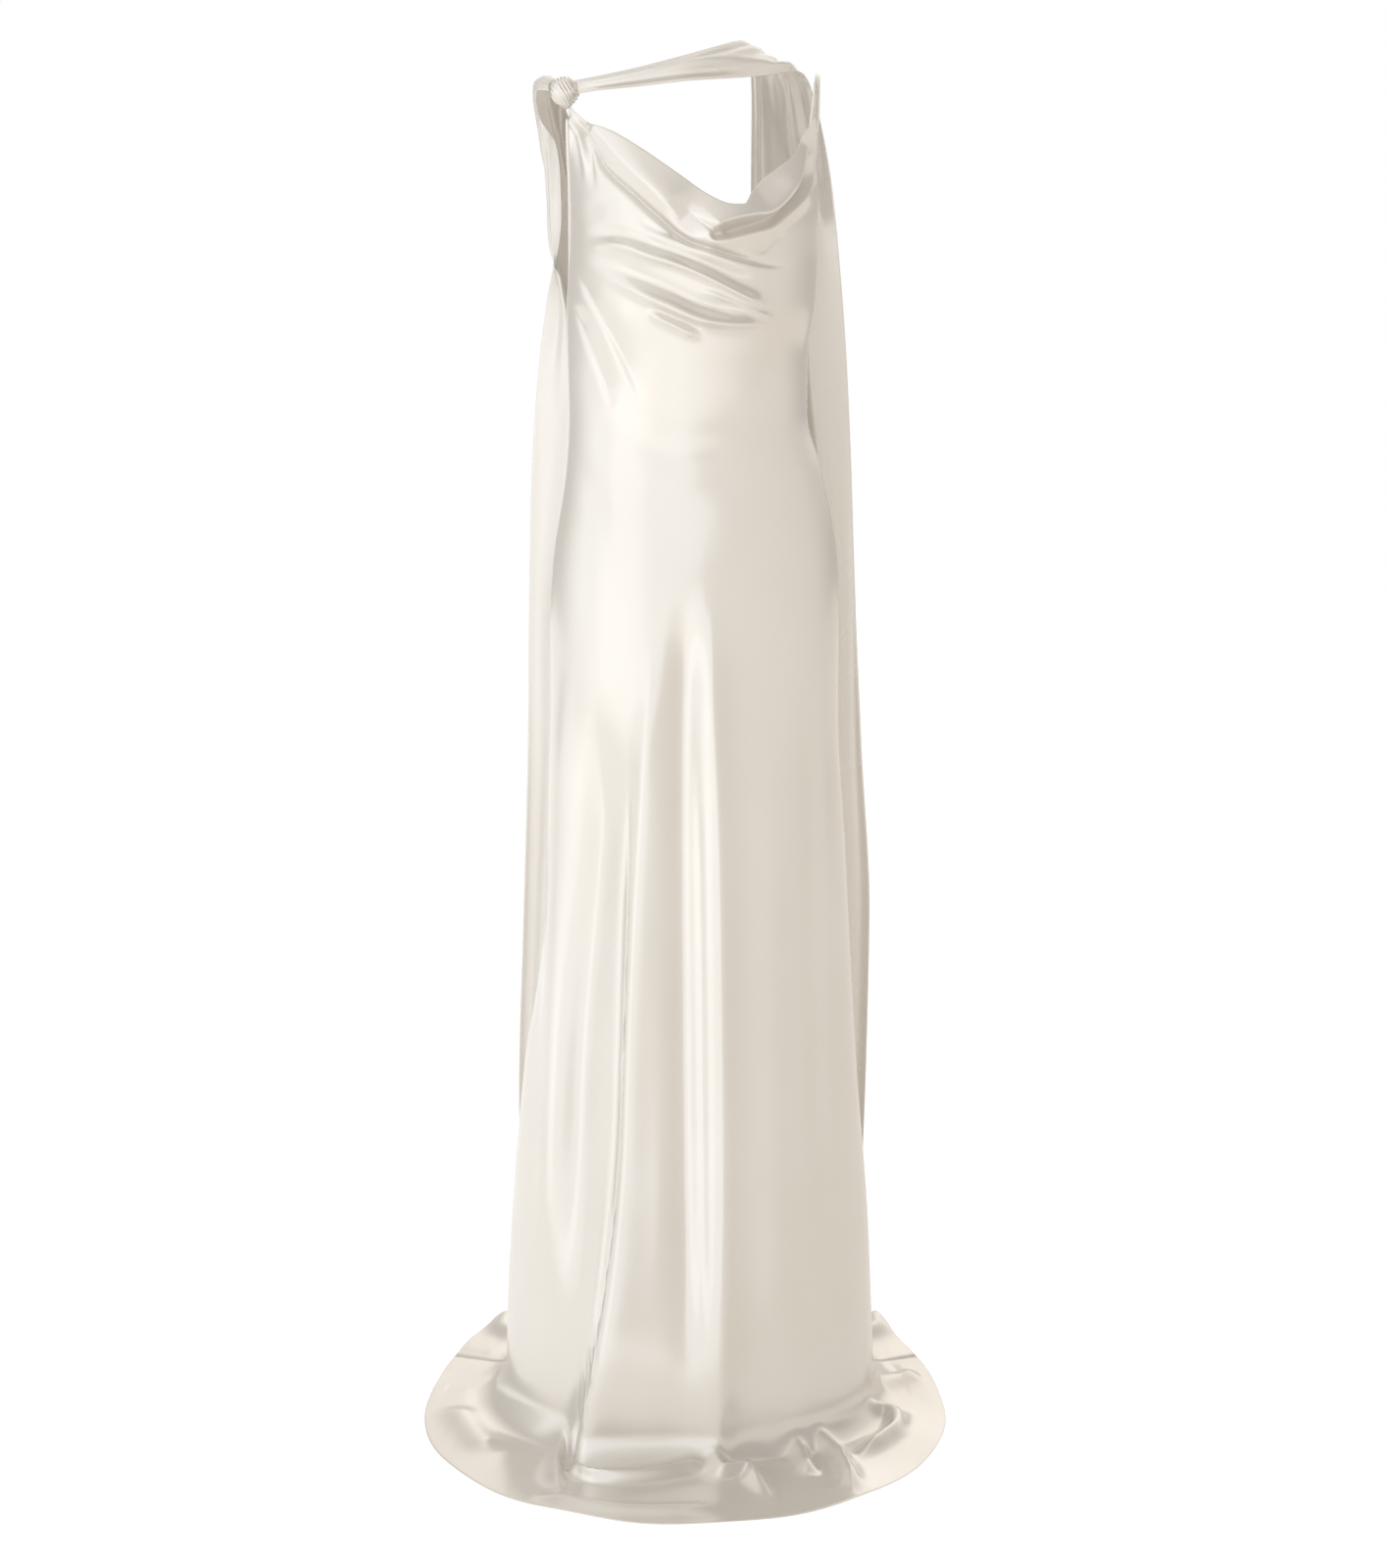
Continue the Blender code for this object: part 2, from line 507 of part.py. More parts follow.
def back_base(row, place):
    """Base surface of the back: place -1 at the right seam to 1 at the left, row as the front's.

    Its rows meet the front's rows at the side seams.
    """
    is_left = place > 0
    out = np.abs(place)
    top = curve_through(column(BACK_EDGE, BACK_EDGE_COLUMNS, "out"),
                        column(BACK_EDGE, BACK_EDGE_COLUMNS, "height"), out)
    height = top + (BACK_LEVEL - top) * np.clip(row + 1, -0.05, 1)
    height = np.where(row > 0, BACK_LEVEL + (BEND_HEIGHT - BACK_LEVEL) * np.clip(row, 0, 1), height)
    seam = edge_angle(height, is_left) + half_seam(height, is_left)
    angle = math.pi - (math.pi - seam) * out
    wall = gown_point(angle, height, is_left)
    return np.where((row > 1)[..., None], pool(angle, is_left, row - 1), wall)


def gown_surface(base, wall_folds, pool_folds):
    """The panel's surface: its base pushed out along its normals by folds, which end at the seams."""
    def surface(row, place):
        point = base(row, place)
        on_floor = ease(*FLOOR_FADE, row)
        off_seam = 1 - ease(*SEAM_FADE, np.abs(place))
        wall = fold_height(point[..., 0], point[..., 2], wall_folds) * (1 - on_floor) * off_seam
        lift = fold_height(point[..., 0], point[..., 1], pool_folds) * on_floor * off_seam
        point = point + surface_normal(base, row, place) * wall[..., None]
        point[..., 2] = np.maximum(point[..., 2] + lift, CLOTH + FLOOR_REST)
        return point
    return surface


def scarf_surface(sections, side):
    """A scarf stretch through its sections, with soft waves low down.

    Side is 1 where the sections start at the edge that faces the wearer's left, and otherwise -1.
    """
    table = np.array(sections, dtype=float)
    stations = np.arange(len(table))
    flat = table.reshape(len(table), -1)

    def base(row, place):
        points = curve_through(stations, flat, row).reshape(*np.shape(row), 4, 3)
        from_first = place if side > 0 else 1 - place
        weights = curve_through(np.arange(4.0), np.eye(4), from_first * 3, level_turns=False)
        return (points * weights[..., None]).sum(axis=-2)

    def surface(row, place):
        point = base(row, place)
        grown = 1 - ease(TAIL_WAVE_FULL, TAIL_WAVE_START, point[..., 2])
        wave = TAIL_WAVE_RISE * grown * np.sin(2 * math.pi * TAIL_WAVES * place)
        return point + surface_normal(base, row, place) * wave[..., None]
    return surface


def sampled(surface, rows, places):
    """Grid of a surface's points and of its normals."""
    row, place = np.meshgrid(rows, places, indexing="ij")
    return surface(row, place), surface_normal(surface, row, place)


def knot_surface(direction, clearance):
    """Point off the knot's surface in a direction from its centre."""
    way = unit(np.array(direction, dtype=float))
    narrow = 1.0 - KNOT_NARROWING * max(0.0, -way[2]) ** 1.5
    reach = np.array(KNOT_RADII) * (narrow, narrow, 1.0) + KNOT_PLEAT_DEPTH + clearance
    return tuple(np.array(KNOT_CENTRE) + reach * way)


# ------------------------------------------------------------------ making Blender objects
def satin(name):
    """A satin material with the cloth's colour, roughness and metallic value."""
    material = bpy.data.materials.new(name)
    material.use_nodes = True
    shader = material.node_tree.nodes["Principled BSDF"]
    shader.inputs["Base Color"].default_value = (*SATIN_COLOUR, 1.0)
    shader.inputs["Roughness"].default_value = SATIN_ROUGHNESS
    shader.inputs["Metallic"].default_value = SATIN_METALLIC
    return material


def add_mesh(name, vertices, faces):
    """Put a mesh of its own material into the scene, shaded smooth."""
    mesh = bpy.data.meshes.new(name)
    faces = [tuple(map(int, face)) for face in faces]
    mesh.from_pydata(placed(vertices).tolist(), [], faces)
    mesh.materials.append(satin(name))
    mesh.shade_smooth()
    part = bpy.data.objects.new(name, mesh)
    bpy.context.scene.collection.objects.link(part)
    return part


def grid_triangles(grid):
    """Two triangles a cell, split along the cell's shorter diagonal."""
    rows, columns = grid.shape[:2]
    index = np.arange(rows * columns).reshape(rows, columns)
    a, b = index[:-1, :-1].ravel(), index[1:, :-1].ravel()
    c, d = index[1:, 1:].ravel(), index[:-1, 1:].ravel()
    flat = grid.reshape(-1, 3)
    first_short = np.linalg.norm(flat[a] - flat[c], axis=1) < np.linalg.norm(flat[b] - flat[d], axis=1)
    one = np.where(first_short[:, None], np.stack((a, b, c), 1), np.stack((a, b, d), 1))
    two = np.where(first_short[:, None], np.stack((a, c, d), 1), np.stack((b, c, d), 1))
    return np.concatenate((one, two))


def cloth_wall(name, outer, normals):
    """A closed wall of one layer of cloth: outer points, inner points and the rim between them."""
    rows, columns = outer.shape[:2]
    count = rows * columns
    inner = outer - normals * CLOTH
    faces = grid_triangles(outer)
    index = np.arange(count).reshape(rows, columns)
    rim = np.concatenate((index[:, 0], index[-1, 1:], index[-2::-1, -1], index[0, -2:0:-1]))
    following = np.roll(rim, -1)
    sides = np.concatenate((
        np.stack((rim, following + count, following), 1),
        np.stack((rim, rim + count, following + count), 1)))
    everything = np.concatenate((faces, faces[:, ::-1] + count, sides))
    vertices = np.concatenate((outer.reshape(-1, 3), inner.reshape(-1, 3)))
    return add_mesh(name, vertices, everything)


def round_strap(name, route):
    """A rouleau strap: a filled curve along a smooth route."""
    route = np.array(route, dtype=float)
    reach = np.concatenate(([0], np.cumsum(np.linalg.norm(np.diff(route, axis=0), axis=1))))
    points = placed(curve_through(reach, route, np.linspace(0, reach[-1], STRAP_POINTS)))
    curve = bpy.data.curves.new(name, "CURVE")
    curve.dimensions = "3D"
    curve.bevel_depth = STRAP_RADIUS
    curve.bevel_resolution = 2
    curve.use_fill_caps = True
    spline = curve.splines.new("POLY")
    spline.points.add(len(points) - 1)
    for target, point in zip(spline.points, points):
        target.co = (*point, 1.0)
    curve.materials.append(satin(name))
    strap = bpy.data.objects.new(name, curve)
    bpy.context.scene.collection.objects.link(strap)
    return strap


def flat_strip(name, centres, outward, thick):
    """A narrow folded strip: an ellipse carried along a line, closed at both ends."""
    angles = np.linspace(0, 2 * math.pi, BINDING_SIDES, endpoint=False)
    ring = (centres[:, None, :]
            + BINDING_HALF_WIDTH * np.cos(angles)[None, :, None] * outward[:, None, :]
            + BINDING_HALF_THICKNESS * np.sin(angles)[None, :, None] * thick[:, None, :])
    faces = []
    for row in range(len(centres) - 1):
        for side in range(BINDING_SIDES):
            following = (side + 1) % BINDING_SIDES
            here = row * BINDING_SIDES
            below = here + BINDING_SIDES
            faces.append((here + side, here + following, below + following, below + side))
    faces.append(tuple(range(BINDING_SIDES))[::-1])
    last = (len(centres) - 1) * BINDING_SIDES
    faces.append(tuple(last + side for side in range(BINDING_SIDES)))
    part = add_mesh(name, ring.reshape(-1, 3), faces)
    tidy = bmesh.new()
    tidy.from_mesh(part.data)
    bmesh.ops.recalc_face_normals(tidy, faces=tidy.faces)
    tidy.to_mesh(part.data)
    tidy.free()
    return part


# ------------------------------------------------------------------ the pieces
def make_front():
    """The front, from the cowl neckline to the hem.  Returns its surface."""
    surface = gown_surface(front_base, FRONT_FOLDS, FRONT_POOL_FOLDS)
    bodice = np.linspace(-1, 0, FRONT_BODICE_ROWS)
    rows = np.concatenate((bodice, np.linspace(0, 1, SKIRT_ROWS + 1)[1:], FLOOR_ROWS))
    places = crowded(FRONT_COLUMNS)
    cloth_wall("front_panel", *sampled(surface, rows, places))
    return surface


def make_back():
    """The back, from its low scoop to the train, with its rows level with the front's."""
    surface = gown_surface(back_base, BACK_FOLDS, BACK_POOL_FOLDS)
    levels = CHEST_LINE + (BEND_HEIGHT - CHEST_LINE) * np.linspace(0, 1, SKIRT_ROWS + 1)
    seam_top = BACK_EDGE[-1][1]
    seam_levels = np.concatenate(([seam_top], levels[:BACK_UPPER_ROWS]))
    upper = -1 + (seam_top - seam_levels) / (seam_top - BACK_LEVEL)
    below = np.linspace(0, 1, SKIRT_ROWS + 2 - BACK_UPPER_ROWS)[1:]
    rows = np.concatenate((upper, below, FLOOR_ROWS))
    places = np.linspace(-1, 1, BACK_COLUMNS)
    cloth_wall("back_panel", *sampled(surface, rows, places))
    return surface


def make_knot():
    """The wrapped knot: a rounded form that narrows downwards, with leaning pleats."""
    shape = bmesh.new()
    bmesh.ops.create_uvsphere(shape, u_segments=KNOT_SEGMENTS, v_segments=KNOT_RINGS, radius=1.0)
    for vertex in shape.verts:
        x, y, z = vertex.co
        lean = x * math.cos(KNOT_PLEAT_LEAN) + z * math.sin(KNOT_PLEAT_LEAN)
        pleat = KNOT_PLEAT_DEPTH * math.cos(math.pi * KNOT_PLEATS * lean)
        narrow = 1.0 - KNOT_NARROWING * max(0.0, -z) ** 1.5
        vertex.co = (
            KNOT_CENTRE[0] + x * (KNOT_RADII[0] * narrow + pleat),
            KNOT_CENTRE[1] + y * (KNOT_RADII[1] * narrow + pleat),
            KNOT_CENTRE[2] - SHOULDER_HEIGHT + z * (KNOT_RADII[2] + pleat * 0.5),
        )
    mesh = bpy.data.meshes.new("shoulder_knot")
    shape.to_mesh(mesh)
    shape.free()
    mesh.materials.append(satin("shoulder_knot"))
    mesh.shade_smooth()
    knot = bpy.data.objects.new("shoulder_knot", mesh)
    bpy.context.scene.collection.objects.link(knot)
    return knot


def make_binding(front_surface):
    """The narrow strip sewn along the left armhole edge of the front."""
    rows = np.linspace(*BINDING_SPAN, BINDING_POINTS)
    edge_place = np.full(BINDING_POINTS, -1.0)
    edge = front_surface(rows, edge_place)
    normals = surface_normal(front_surface, rows, edge_place)
    outward = unit(edge - front_surface(rows, edge_place + PROBE))
    centres = edge - normals * CLOTH / 2 + outward * (SEAM_GAP + BINDING_HALF_WIDTH)
    return flat_strip("armhole_binding", centres, outward, normals)


def inside(surface, row, place):
    """Centre of a strap that lies against the inside of a panel."""
    row = np.array(row, dtype=float)
    place = np.array(place, dtype=float)
    inward = CLOTH + STRAP_REST + STRAP_RADIUS
    return tuple(surface(row, place) - surface_normal(surface, row, place) * inward)


def make_straps(front_surface, back_surface):
    """The thin shoulder strap, and the one from the knot to the back."""
    front_foot = inside(front_surface, *FRONT_STRAP_FOOT)
    right_foot = inside(back_surface, BACK_STRAP_ROW, -BACK_STRAP_PLACE)
    left_foot = inside(back_surface, BACK_STRAP_ROW, BACK_STRAP_PLACE)
    knot_end = knot_surface(KNOT_STRAP_DIRECTION, SEAM_GAP)
    round_strap("shoulder_strap", (front_foot,) + SHOULDER_STRAP_ROUTE + (right_foot,))
    round_strap("knot_strap", (knot_end,) + KNOT_STRAP_ROUTE + (left_foot,))


def make_scarf():
    """The scarf's neck band, its left tail and its looped right tail."""
    places = np.linspace(0, 1, SCARF_COLUMN_COUNT)
    band_start = tuple(knot_surface(way, SEAM_GAP) for way in BAND_START_DIRECTIONS)
    surface = scarf_surface((band_start,) + LEFT_SCARF, 1.0)
    ridge = RIDGE_ROW + 1
    step = RIDGE_GAP_STEP
    last = len(LEFT_SCARF)
    cloth_wall("scarf_neck_band", *sampled(surface, np.linspace(0, ridge - step, BAND_ROWS), places))
    cloth_wall("scarf_left_tail", *sampled(surface, np.linspace(ridge + step, last, TAIL_ROWS), places))
    loop_start = tuple(knot_surface(way, SEAM_GAP + CLOTH) for way in LOOP_START_DIRECTIONS)
    surface = scarf_surface((loop_start,) + RIGHT_SCARF, -1.0)
    rows = np.linspace(0, len(RIGHT_SCARF), TAIL_ROWS + LOOP_EXTRA_ROWS)
    cloth_wall("scarf_right_tail", *sampled(surface, rows, places))


for leftover in list(bpy.data.objects):
    bpy.data.objects.remove(leftover, do_unlink=True)
FRONT_SURFACE = make_front()
BACK_SURFACE = make_back()
make_knot()
make_binding(FRONT_SURFACE)
make_straps(FRONT_SURFACE, BACK_SURFACE)
make_scarf()
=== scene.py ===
"""Bias-cut satin wedding gown with a cowl neck and a knotted scarf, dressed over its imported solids.

Metres, with millimetres in the tables of folds and sections.  +Z up, +X to the wearer's left, -Y to
the front.  The origin lies midway between the two shoulder supports, SHOULDER_HEIGHT above the
floor.  Places are worked out as heights above the floor, and placed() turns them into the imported
frame.
"""

import logging
import math
from dataclasses import dataclass
from enum import Enum, IntEnum
from typing import Callable, Optional, Sequence, Union

import bpy
import numpy as np
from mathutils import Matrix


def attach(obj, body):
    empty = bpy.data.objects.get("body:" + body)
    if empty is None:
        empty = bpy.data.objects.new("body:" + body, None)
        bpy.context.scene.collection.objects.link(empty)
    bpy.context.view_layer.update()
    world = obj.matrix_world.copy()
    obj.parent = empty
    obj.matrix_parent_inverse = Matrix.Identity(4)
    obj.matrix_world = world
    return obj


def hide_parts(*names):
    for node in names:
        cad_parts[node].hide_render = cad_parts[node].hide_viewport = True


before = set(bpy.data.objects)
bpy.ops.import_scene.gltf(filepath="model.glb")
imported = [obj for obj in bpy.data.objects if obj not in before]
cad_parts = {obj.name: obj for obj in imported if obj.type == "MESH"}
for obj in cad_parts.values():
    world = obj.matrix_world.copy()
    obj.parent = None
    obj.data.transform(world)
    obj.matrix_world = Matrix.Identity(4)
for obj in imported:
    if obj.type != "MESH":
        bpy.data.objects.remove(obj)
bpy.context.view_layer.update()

Grid = np.ndarray
Surface = Callable[[Grid, Grid], Grid]
Point = tuple[float, float, float]
Pair = tuple[float, float]

SHOULDER_HEIGHT = 1.45
MILLIMETRES = 1000
# the satin that shows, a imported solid's wall, the gap at a seam and the gap over the floor
SATIN_WALL = 0.0009
CLOTH = 0.0015
SEAM_GAP = 0.0003
FLOOR_REST = 0.0006
STRAP_CLEARANCE = 1.6 * SEAM_GAP
# the half step of row and place that a normal is taken over, and the least length of a vector
PROBE = 1e-3
TINY = 1e-12
FULL_TURN = 2 * math.pi


# ------------------------------------------------------------------ curves and vectors
def curve_through(knots: Sequence[float], values: Sequence, at: Grid, level_turns: bool = True) -> Grid:
    """Smooth curve through (knot, value) pairs: a cubic Hermite with three-point tangents.

    Args:
        knots: where the values are given.
        values: a number or a row of numbers for each knot.
        at: where to read the curve; it runs straight on past its ends.
        level_turns: whether the curve is level at a knot where the values turn or stand still.

    Returns:
        The curve's values at each place.
    """
    order = np.argsort(knots)
    knots = np.asarray(knots, dtype=float)[order]
    values = np.asarray(values, dtype=float)[order]
    tangents = np.gradient(values, knots, axis=0)
    if level_turns:
        rises = np.diff(values, axis=0)
        tangents[1:-1] = np.where(rises[1:] * rises[:-1] > 0, tangents[1:-1], 0.0)
    at = np.asarray(at, dtype=float)
    clipped = np.clip(at, knots[0], knots[-1])
    index = np.clip(np.searchsorted(knots, clipped) - 1, 0, len(knots) - 2)
    span = knots[index + 1] - knots[index]
    t = (clipped - knots[index]) / span
    past = at - clipped
    if values.ndim > 1:
        t, span, past = t[..., None], span[..., None], past[..., None]
    ahead = t * t * (3 - 2 * t)
    end_slope = np.where(past > 0, tangents[-1], tangents[0])
    return (values[index] * (1 - ahead) + values[index + 1] * ahead
            + tangents[index] * span * t * (1 - t) ** 2
            - tangents[index + 1] * span * t * t * (1 - t)
            + end_slope * past)


def ease(low: float, high: float, value: Grid) -> Grid:
    """0 below low and 1 above high, with the smooth step t * t * (3 - 2 * t) between."""
    t = np.clip((value - low) / (high - low), 0.0, 1.0)
    return t * t * (3 - 2 * t)


def placed(points: Grid) -> Grid:
    """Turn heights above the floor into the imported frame's coordinates.

    Args:
        points: points above the floor.

    Returns:
        The same points, SHOULDER_HEIGHT lower.
    """
    points = np.array(points, dtype=float)
    points[..., 2] -= SHOULDER_HEIGHT
    return points


def unit(vectors: Grid) -> Grid:
    """Vectors scaled to length one."""
    return vectors / np.maximum(np.linalg.norm(vectors, axis=-1, keepdims=True), TINY)


def surface_normal(surface: Surface, row: Grid, place: Grid) -> Grid:
    """Outward unit normals: the step down the rows crossed with the step along the places.

    Args:
        surface: a function of row and place.
        row: the rows.
        place: the places, of the same shape.

    Returns:
        One normal for each place.
    """
    down = surface(row + PROBE, place) - surface(row - PROBE, place)
    along = surface(row, place + PROBE) - surface(row, place - PROBE)
    return unit(np.cross(down, along))


def grid_normal(points: Grid) -> Grid:
    """Outward unit normals of a grid of points, from the differences between its neighbours."""
    return unit(np.cross(np.gradient(points, axis=0), np.gradient(points, axis=1)))


def crowded(count: int, centre: float, spread: float, extra: float, steps: int = 1001) -> Grid:
    """Places from -1 to 1, closer together around a centre.

    The density is 1 + extra * exp(-((place - centre) / spread) ** 2), and each two neighbours have
    the same share of its sum between them.

    Args:
        count: how many places.
        centre: where they are closest.
        spread: how far from the centre they crowd.
        extra: how much denser they are at the centre.
        steps: how finely the density is summed.

    Returns:
        The places.
    """
    fine = np.linspace(-1, 1, steps)
    density = 1 + extra * np.exp(-((fine - centre) / spread) ** 2)
    total = np.concatenate(([0], np.cumsum((density[1:] + density[:-1]) / 2)))
    return np.interp(np.linspace(0, total[-1], count), total, fine)


def joined(stretches: Sequence[tuple[float, float, int]]) -> Grid:
    """Rows of (first, last, count) stretches that follow each other, with no row twice."""
    return np.concatenate([[stretches[0][0]]] + [np.linspace(*stretch)[1:] for stretch in stretches])


def full_turn(count: int) -> Grid:
    """Angles once round, as one row; the last doesn't repeat the first."""
    return np.linspace(0, FULL_TURN, count, endpoint=False)[None, :]


def carried(centre: Grid, side: Grid, up: Grid, wide: Grid, deep: Grid) -> Grid:
    """Rings of a section: each centre + wide * its side direction + deep * its up direction."""
    return centre[:, None, :] + wide[..., None] * side[:, None, :] + deep[..., None] * up[:, None, :]


# ------------------------------------------------------------------ meshes
def put_in_scene(name: str, data: bpy.types.ID) -> bpy.types.Object:
    """Put something into the scene, at the origin.

    Args:
        name: the object's name.
        data: its mesh, light or camera.

    Returns:
        The new object.
    """
    made = bpy.data.objects.new(name, data)
    bpy.context.scene.collection.objects.link(made)
    return made


def add_mesh(name: str, vertices: Grid, faces: Grid, uv: Grid) -> bpy.types.Object:
    """Put a smooth mesh into the scene, with its faces outwards.

    The faces are turned round if the enclosed volume, a sixth of the sum of a . (b x c) over the
    triangles, comes out negative.

    Args:
        name: the piece's name.
        vertices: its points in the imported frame.
        faces: rows of four corners; a triangle repeats its last corner.
        uv: a place on the cut cloth for each point, in metres.

    Returns:
        The new object.
    """
    a, b, c, d = (vertices[faces[:, corner]] for corner in range(4))
    volume = (a * np.cross(b, c)).sum() + (a * np.cross(c, d)).sum()
    if volume < 0:
        faces = faces[:, ::-1]
    is_triangle = (faces[:, 2] == faces[:, 3]) | (faces[:, 0] == faces[:, 1])
    triangles = np.where((faces[:, 0] == faces[:, 1])[:, None], faces[:, 1:], faces[:, :3])[is_triangle]
    corners = faces[~is_triangle].tolist() + triangles.tolist()
    mesh = bpy.data.meshes.new(name)
    mesh.from_pydata(vertices.tolist(), [], corners)
    layer = mesh.uv_layers.new(name="cloth")
    owner = np.zeros(len(mesh.loops), dtype=np.int32)
    mesh.loops.foreach_get("vertex_index", owner)
    layer.data.foreach_set("uv", uv[owner].astype(np.float32).ravel())
    mesh.shade_smooth()
    return put_in_scene(name, mesh)


def cloth_wall(name: str, outer: Grid) -> bpy.types.Object:
    """A closed layer of cloth with a rounded edge, from the grid of its outer points.

    The inner points lie SATIN_WALL inside the outer ones along their normals, and the edge's middle
    points stand half of that out past the grid's border, along border direction x normal.

    Args:
        name: the piece's name.
        outer: rows x places x 3 points above the floor.

    Returns:
        The new object.
    """
    rows, columns = outer.shape[:2]
    count = rows * columns
    normals = grid_normal(outer)
    inner = outer - normals * SATIN_WALL
    index = np.arange(count).reshape(rows, columns)
    rim = np.concatenate((index[:, 0], index[-1, 1:], index[-2::-1, -1], index[0, -2:0:-1]))
    rim_outer = outer.reshape(-1, 3)[rim]
    rim_normal = normals.reshape(-1, 3)[rim]
    run = np.roll(rim_outer, -1, axis=0) - np.roll(rim_outer, 1, axis=0)
    middle = rim_outer - rim_normal * SATIN_WALL / 2 + unit(np.cross(run, rim_normal)) * SATIN_WALL / 2
    faces = np.stack((index[:-1, :-1], index[1:, :-1], index[1:, 1:], index[:-1, 1:]), -1).reshape(-1, 4)
    edge = np.arange(len(rim)) + 2 * count
    following, next_edge = np.roll(rim, -1), np.roll(edge, -1)
    faces = np.concatenate((
        faces, faces[:, ::-1] + count,
        np.stack((rim, edge, next_edge, following), 1),
        np.stack((edge, rim + count, following + count, next_edge), 1)))
    across = np.linalg.norm(np.diff(outer, axis=1, prepend=outer[:, :1]), axis=2).cumsum(axis=1)
    across -= across[:, columns // 2:columns // 2 + 1]
    down = np.linalg.norm(np.diff(outer, axis=0, prepend=outer[:1]), axis=2).mean(axis=1).cumsum()
    uv = np.stack((across, np.broadcast_to(down[:, None], across.shape)), -1).reshape(-1, 2)
    vertices = placed(np.concatenate((outer.reshape(-1, 3), inner.reshape(-1, 3), middle)))
    return add_mesh(name, vertices, faces, np.concatenate((uv, uv, uv[rim])))


def closed_tube(name: str, rings: Grid) -> bpy.types.Object:
    """A closed skin over rings of points, whose first and last rings each become one point.

    Args:
        name: the piece's name.
        rings: rings x points round x 3, above the floor; the points round don't repeat the first.

    Returns:
        The new object.
    """
    count, around = rings.shape[:2]
    body = rings[1:-1]
    index = np.arange((count - 2) * around).reshape(count - 2, around)
    turned = np.roll(index, -1, axis=1)
    faces = np.stack((index[:-1], index[1:], turned[1:], turned[:-1]), -1).reshape(-1, 4)
    first, last = index.size, index.size + 1
    start = np.stack((np.full(around, first), index[0], turned[0], turned[0]), 1)
    end = np.stack((np.full(around, last), turned[-1], index[-1], index[-1]), 1)
    poles = np.stack((rings[0].mean(axis=0), rings[-1].mean(axis=0)))
    vertices = np.concatenate((body.reshape(-1, 3), poles))
    middles = body.mean(axis=1)
    along = np.linalg.norm(np.diff(middles, axis=0, prepend=middles[:1]), axis=1).cumsum()
    girth = np.linalg.norm(np.diff(body[len(body) // 2], axis=0), axis=1).sum()
    turn = np.linspace(0, girth, around, endpoint=False)
    uv = np.stack(np.broadcast_arrays(turn[None, :], along[:, None]), -1).reshape(-1, 2)
    uv = np.concatenate((uv, [[0.0, 0.0], [0.0, along[-1]]]))
    return add_mesh(name, placed(vertices), np.concatenate((faces, start, end)), uv)


def finish_piece(piece: bpy.types.Object, node: str, material: bpy.types.Material) -> None:
    """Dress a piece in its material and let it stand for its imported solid.

    Args:
        piece: the piece's object.
        node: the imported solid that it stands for.
        material: the material.
    """
    piece.data.materials.append(material)
    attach(piece, "root")
    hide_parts(node)
    logging.info("%s: %d faces", piece.name, len(piece.data.polygons))


# ------------------------------------------------------------------ shader maths
Value = Union["Socket", float]
Colour = Union["Socket", Point]
# a colour Mix node's inputs and its output
MIX_SHARE, MIX_FIRST, MIX_SECOND, MIX_COLOUR = 0, 6, 7, 2


def operator(operation: str, is_reflected: bool = False) -> Callable[["Socket", Value], "Socket"]:
    """Make a Socket's method for one of Python's operators.

    Args:
        operation: the Math node's operation.
        is_reflected: whether the other value stands on the left.

    Returns:
        The method, which adds the Math node.
    """
    def combined(value: "Socket", other: Value) -> "Socket":
        """The operation on the value and another socket or number."""
        first, second = (other, value) if is_reflected else (value, other)
        return value.graph.node("ShaderNodeMath", {"operation": operation}, {0: first, 1: second})
    return combined


class Socket:
    """A shader value that Python's operators combine through Math nodes."""

    def __init__(self, graph: "Graph", link: bpy.types.NodeSocket) -> None:
        """Wrap one output of a node."""
        self.graph = graph
        self.link = link

    __add__ = operator("ADD")
    __radd__ = operator("ADD", is_reflected=True)
    __sub__ = operator("SUBTRACT")
    __rsub__ = operator("SUBTRACT", is_reflected=True)
    __mul__ = operator("MULTIPLY")
    __rmul__ = operator("MULTIPLY", is_reflected=True)
    __truediv__ = operator("DIVIDE")

    def held(self) -> "Socket":
        """The value held between 0 and 1."""
        return self.graph.node("ShaderNodeClamp", inputs={"Value": self})


class Graph:
    """A node tree that is emptied and filled node by node."""

    def __init__(self, tree: bpy.types.NodeTree) -> None:
        """Start from an empty tree."""
        self.tree = tree
        tree.nodes.clear()

    def node(self, kind: str, settings: Optional[dict] = None, inputs: Optional[dict] = None,
             output: Union[int, str] = 0) -> Socket:
        """Add one node.

        Args:
            kind: the node's type.
            settings: its own settings, set first.
            inputs: a value or a Socket for each input, by name or number.
            output: which output to return.

        Returns:
            The chosen output.
        """
        made = self.tree.nodes.new(kind)
        for name, value in (settings or {}).items():
            setattr(made, name, value)
        for name, value in (inputs or {}).items():
            if isinstance(value, Socket):
                self.tree.links.new(value.link, made.inputs[name])
            else:
                made.inputs[name].default_value = value
        return Socket(self, made.outputs[output] if made.outputs else None)

    def axis(self, vector: Socket, name: str) -> Socket:
        """The X, Y or Z of a vector."""
        return self.node("ShaderNodeSeparateXYZ", inputs={"Vector": vector}, output=name)

    def blend(self, share: Socket, first: Colour, second: Colour) -> Socket:
        """Mix two colours.

        Args:
            share: how much of the second colour, from 0 to 1.
            first: a colour, or a Socket that gives one.
            second: the same.

        Returns:
            The mixed colour.
        """
        first, second = (colour if isinstance(colour, Socket) else (*colour, 1.0)
                         for colour in (first, second))
        return self.node("ShaderNodeMix", {"data_type": "RGBA"}, {
            MIX_SHARE: share, MIX_FIRST: first, MIX_SECOND: second}, MIX_COLOUR)


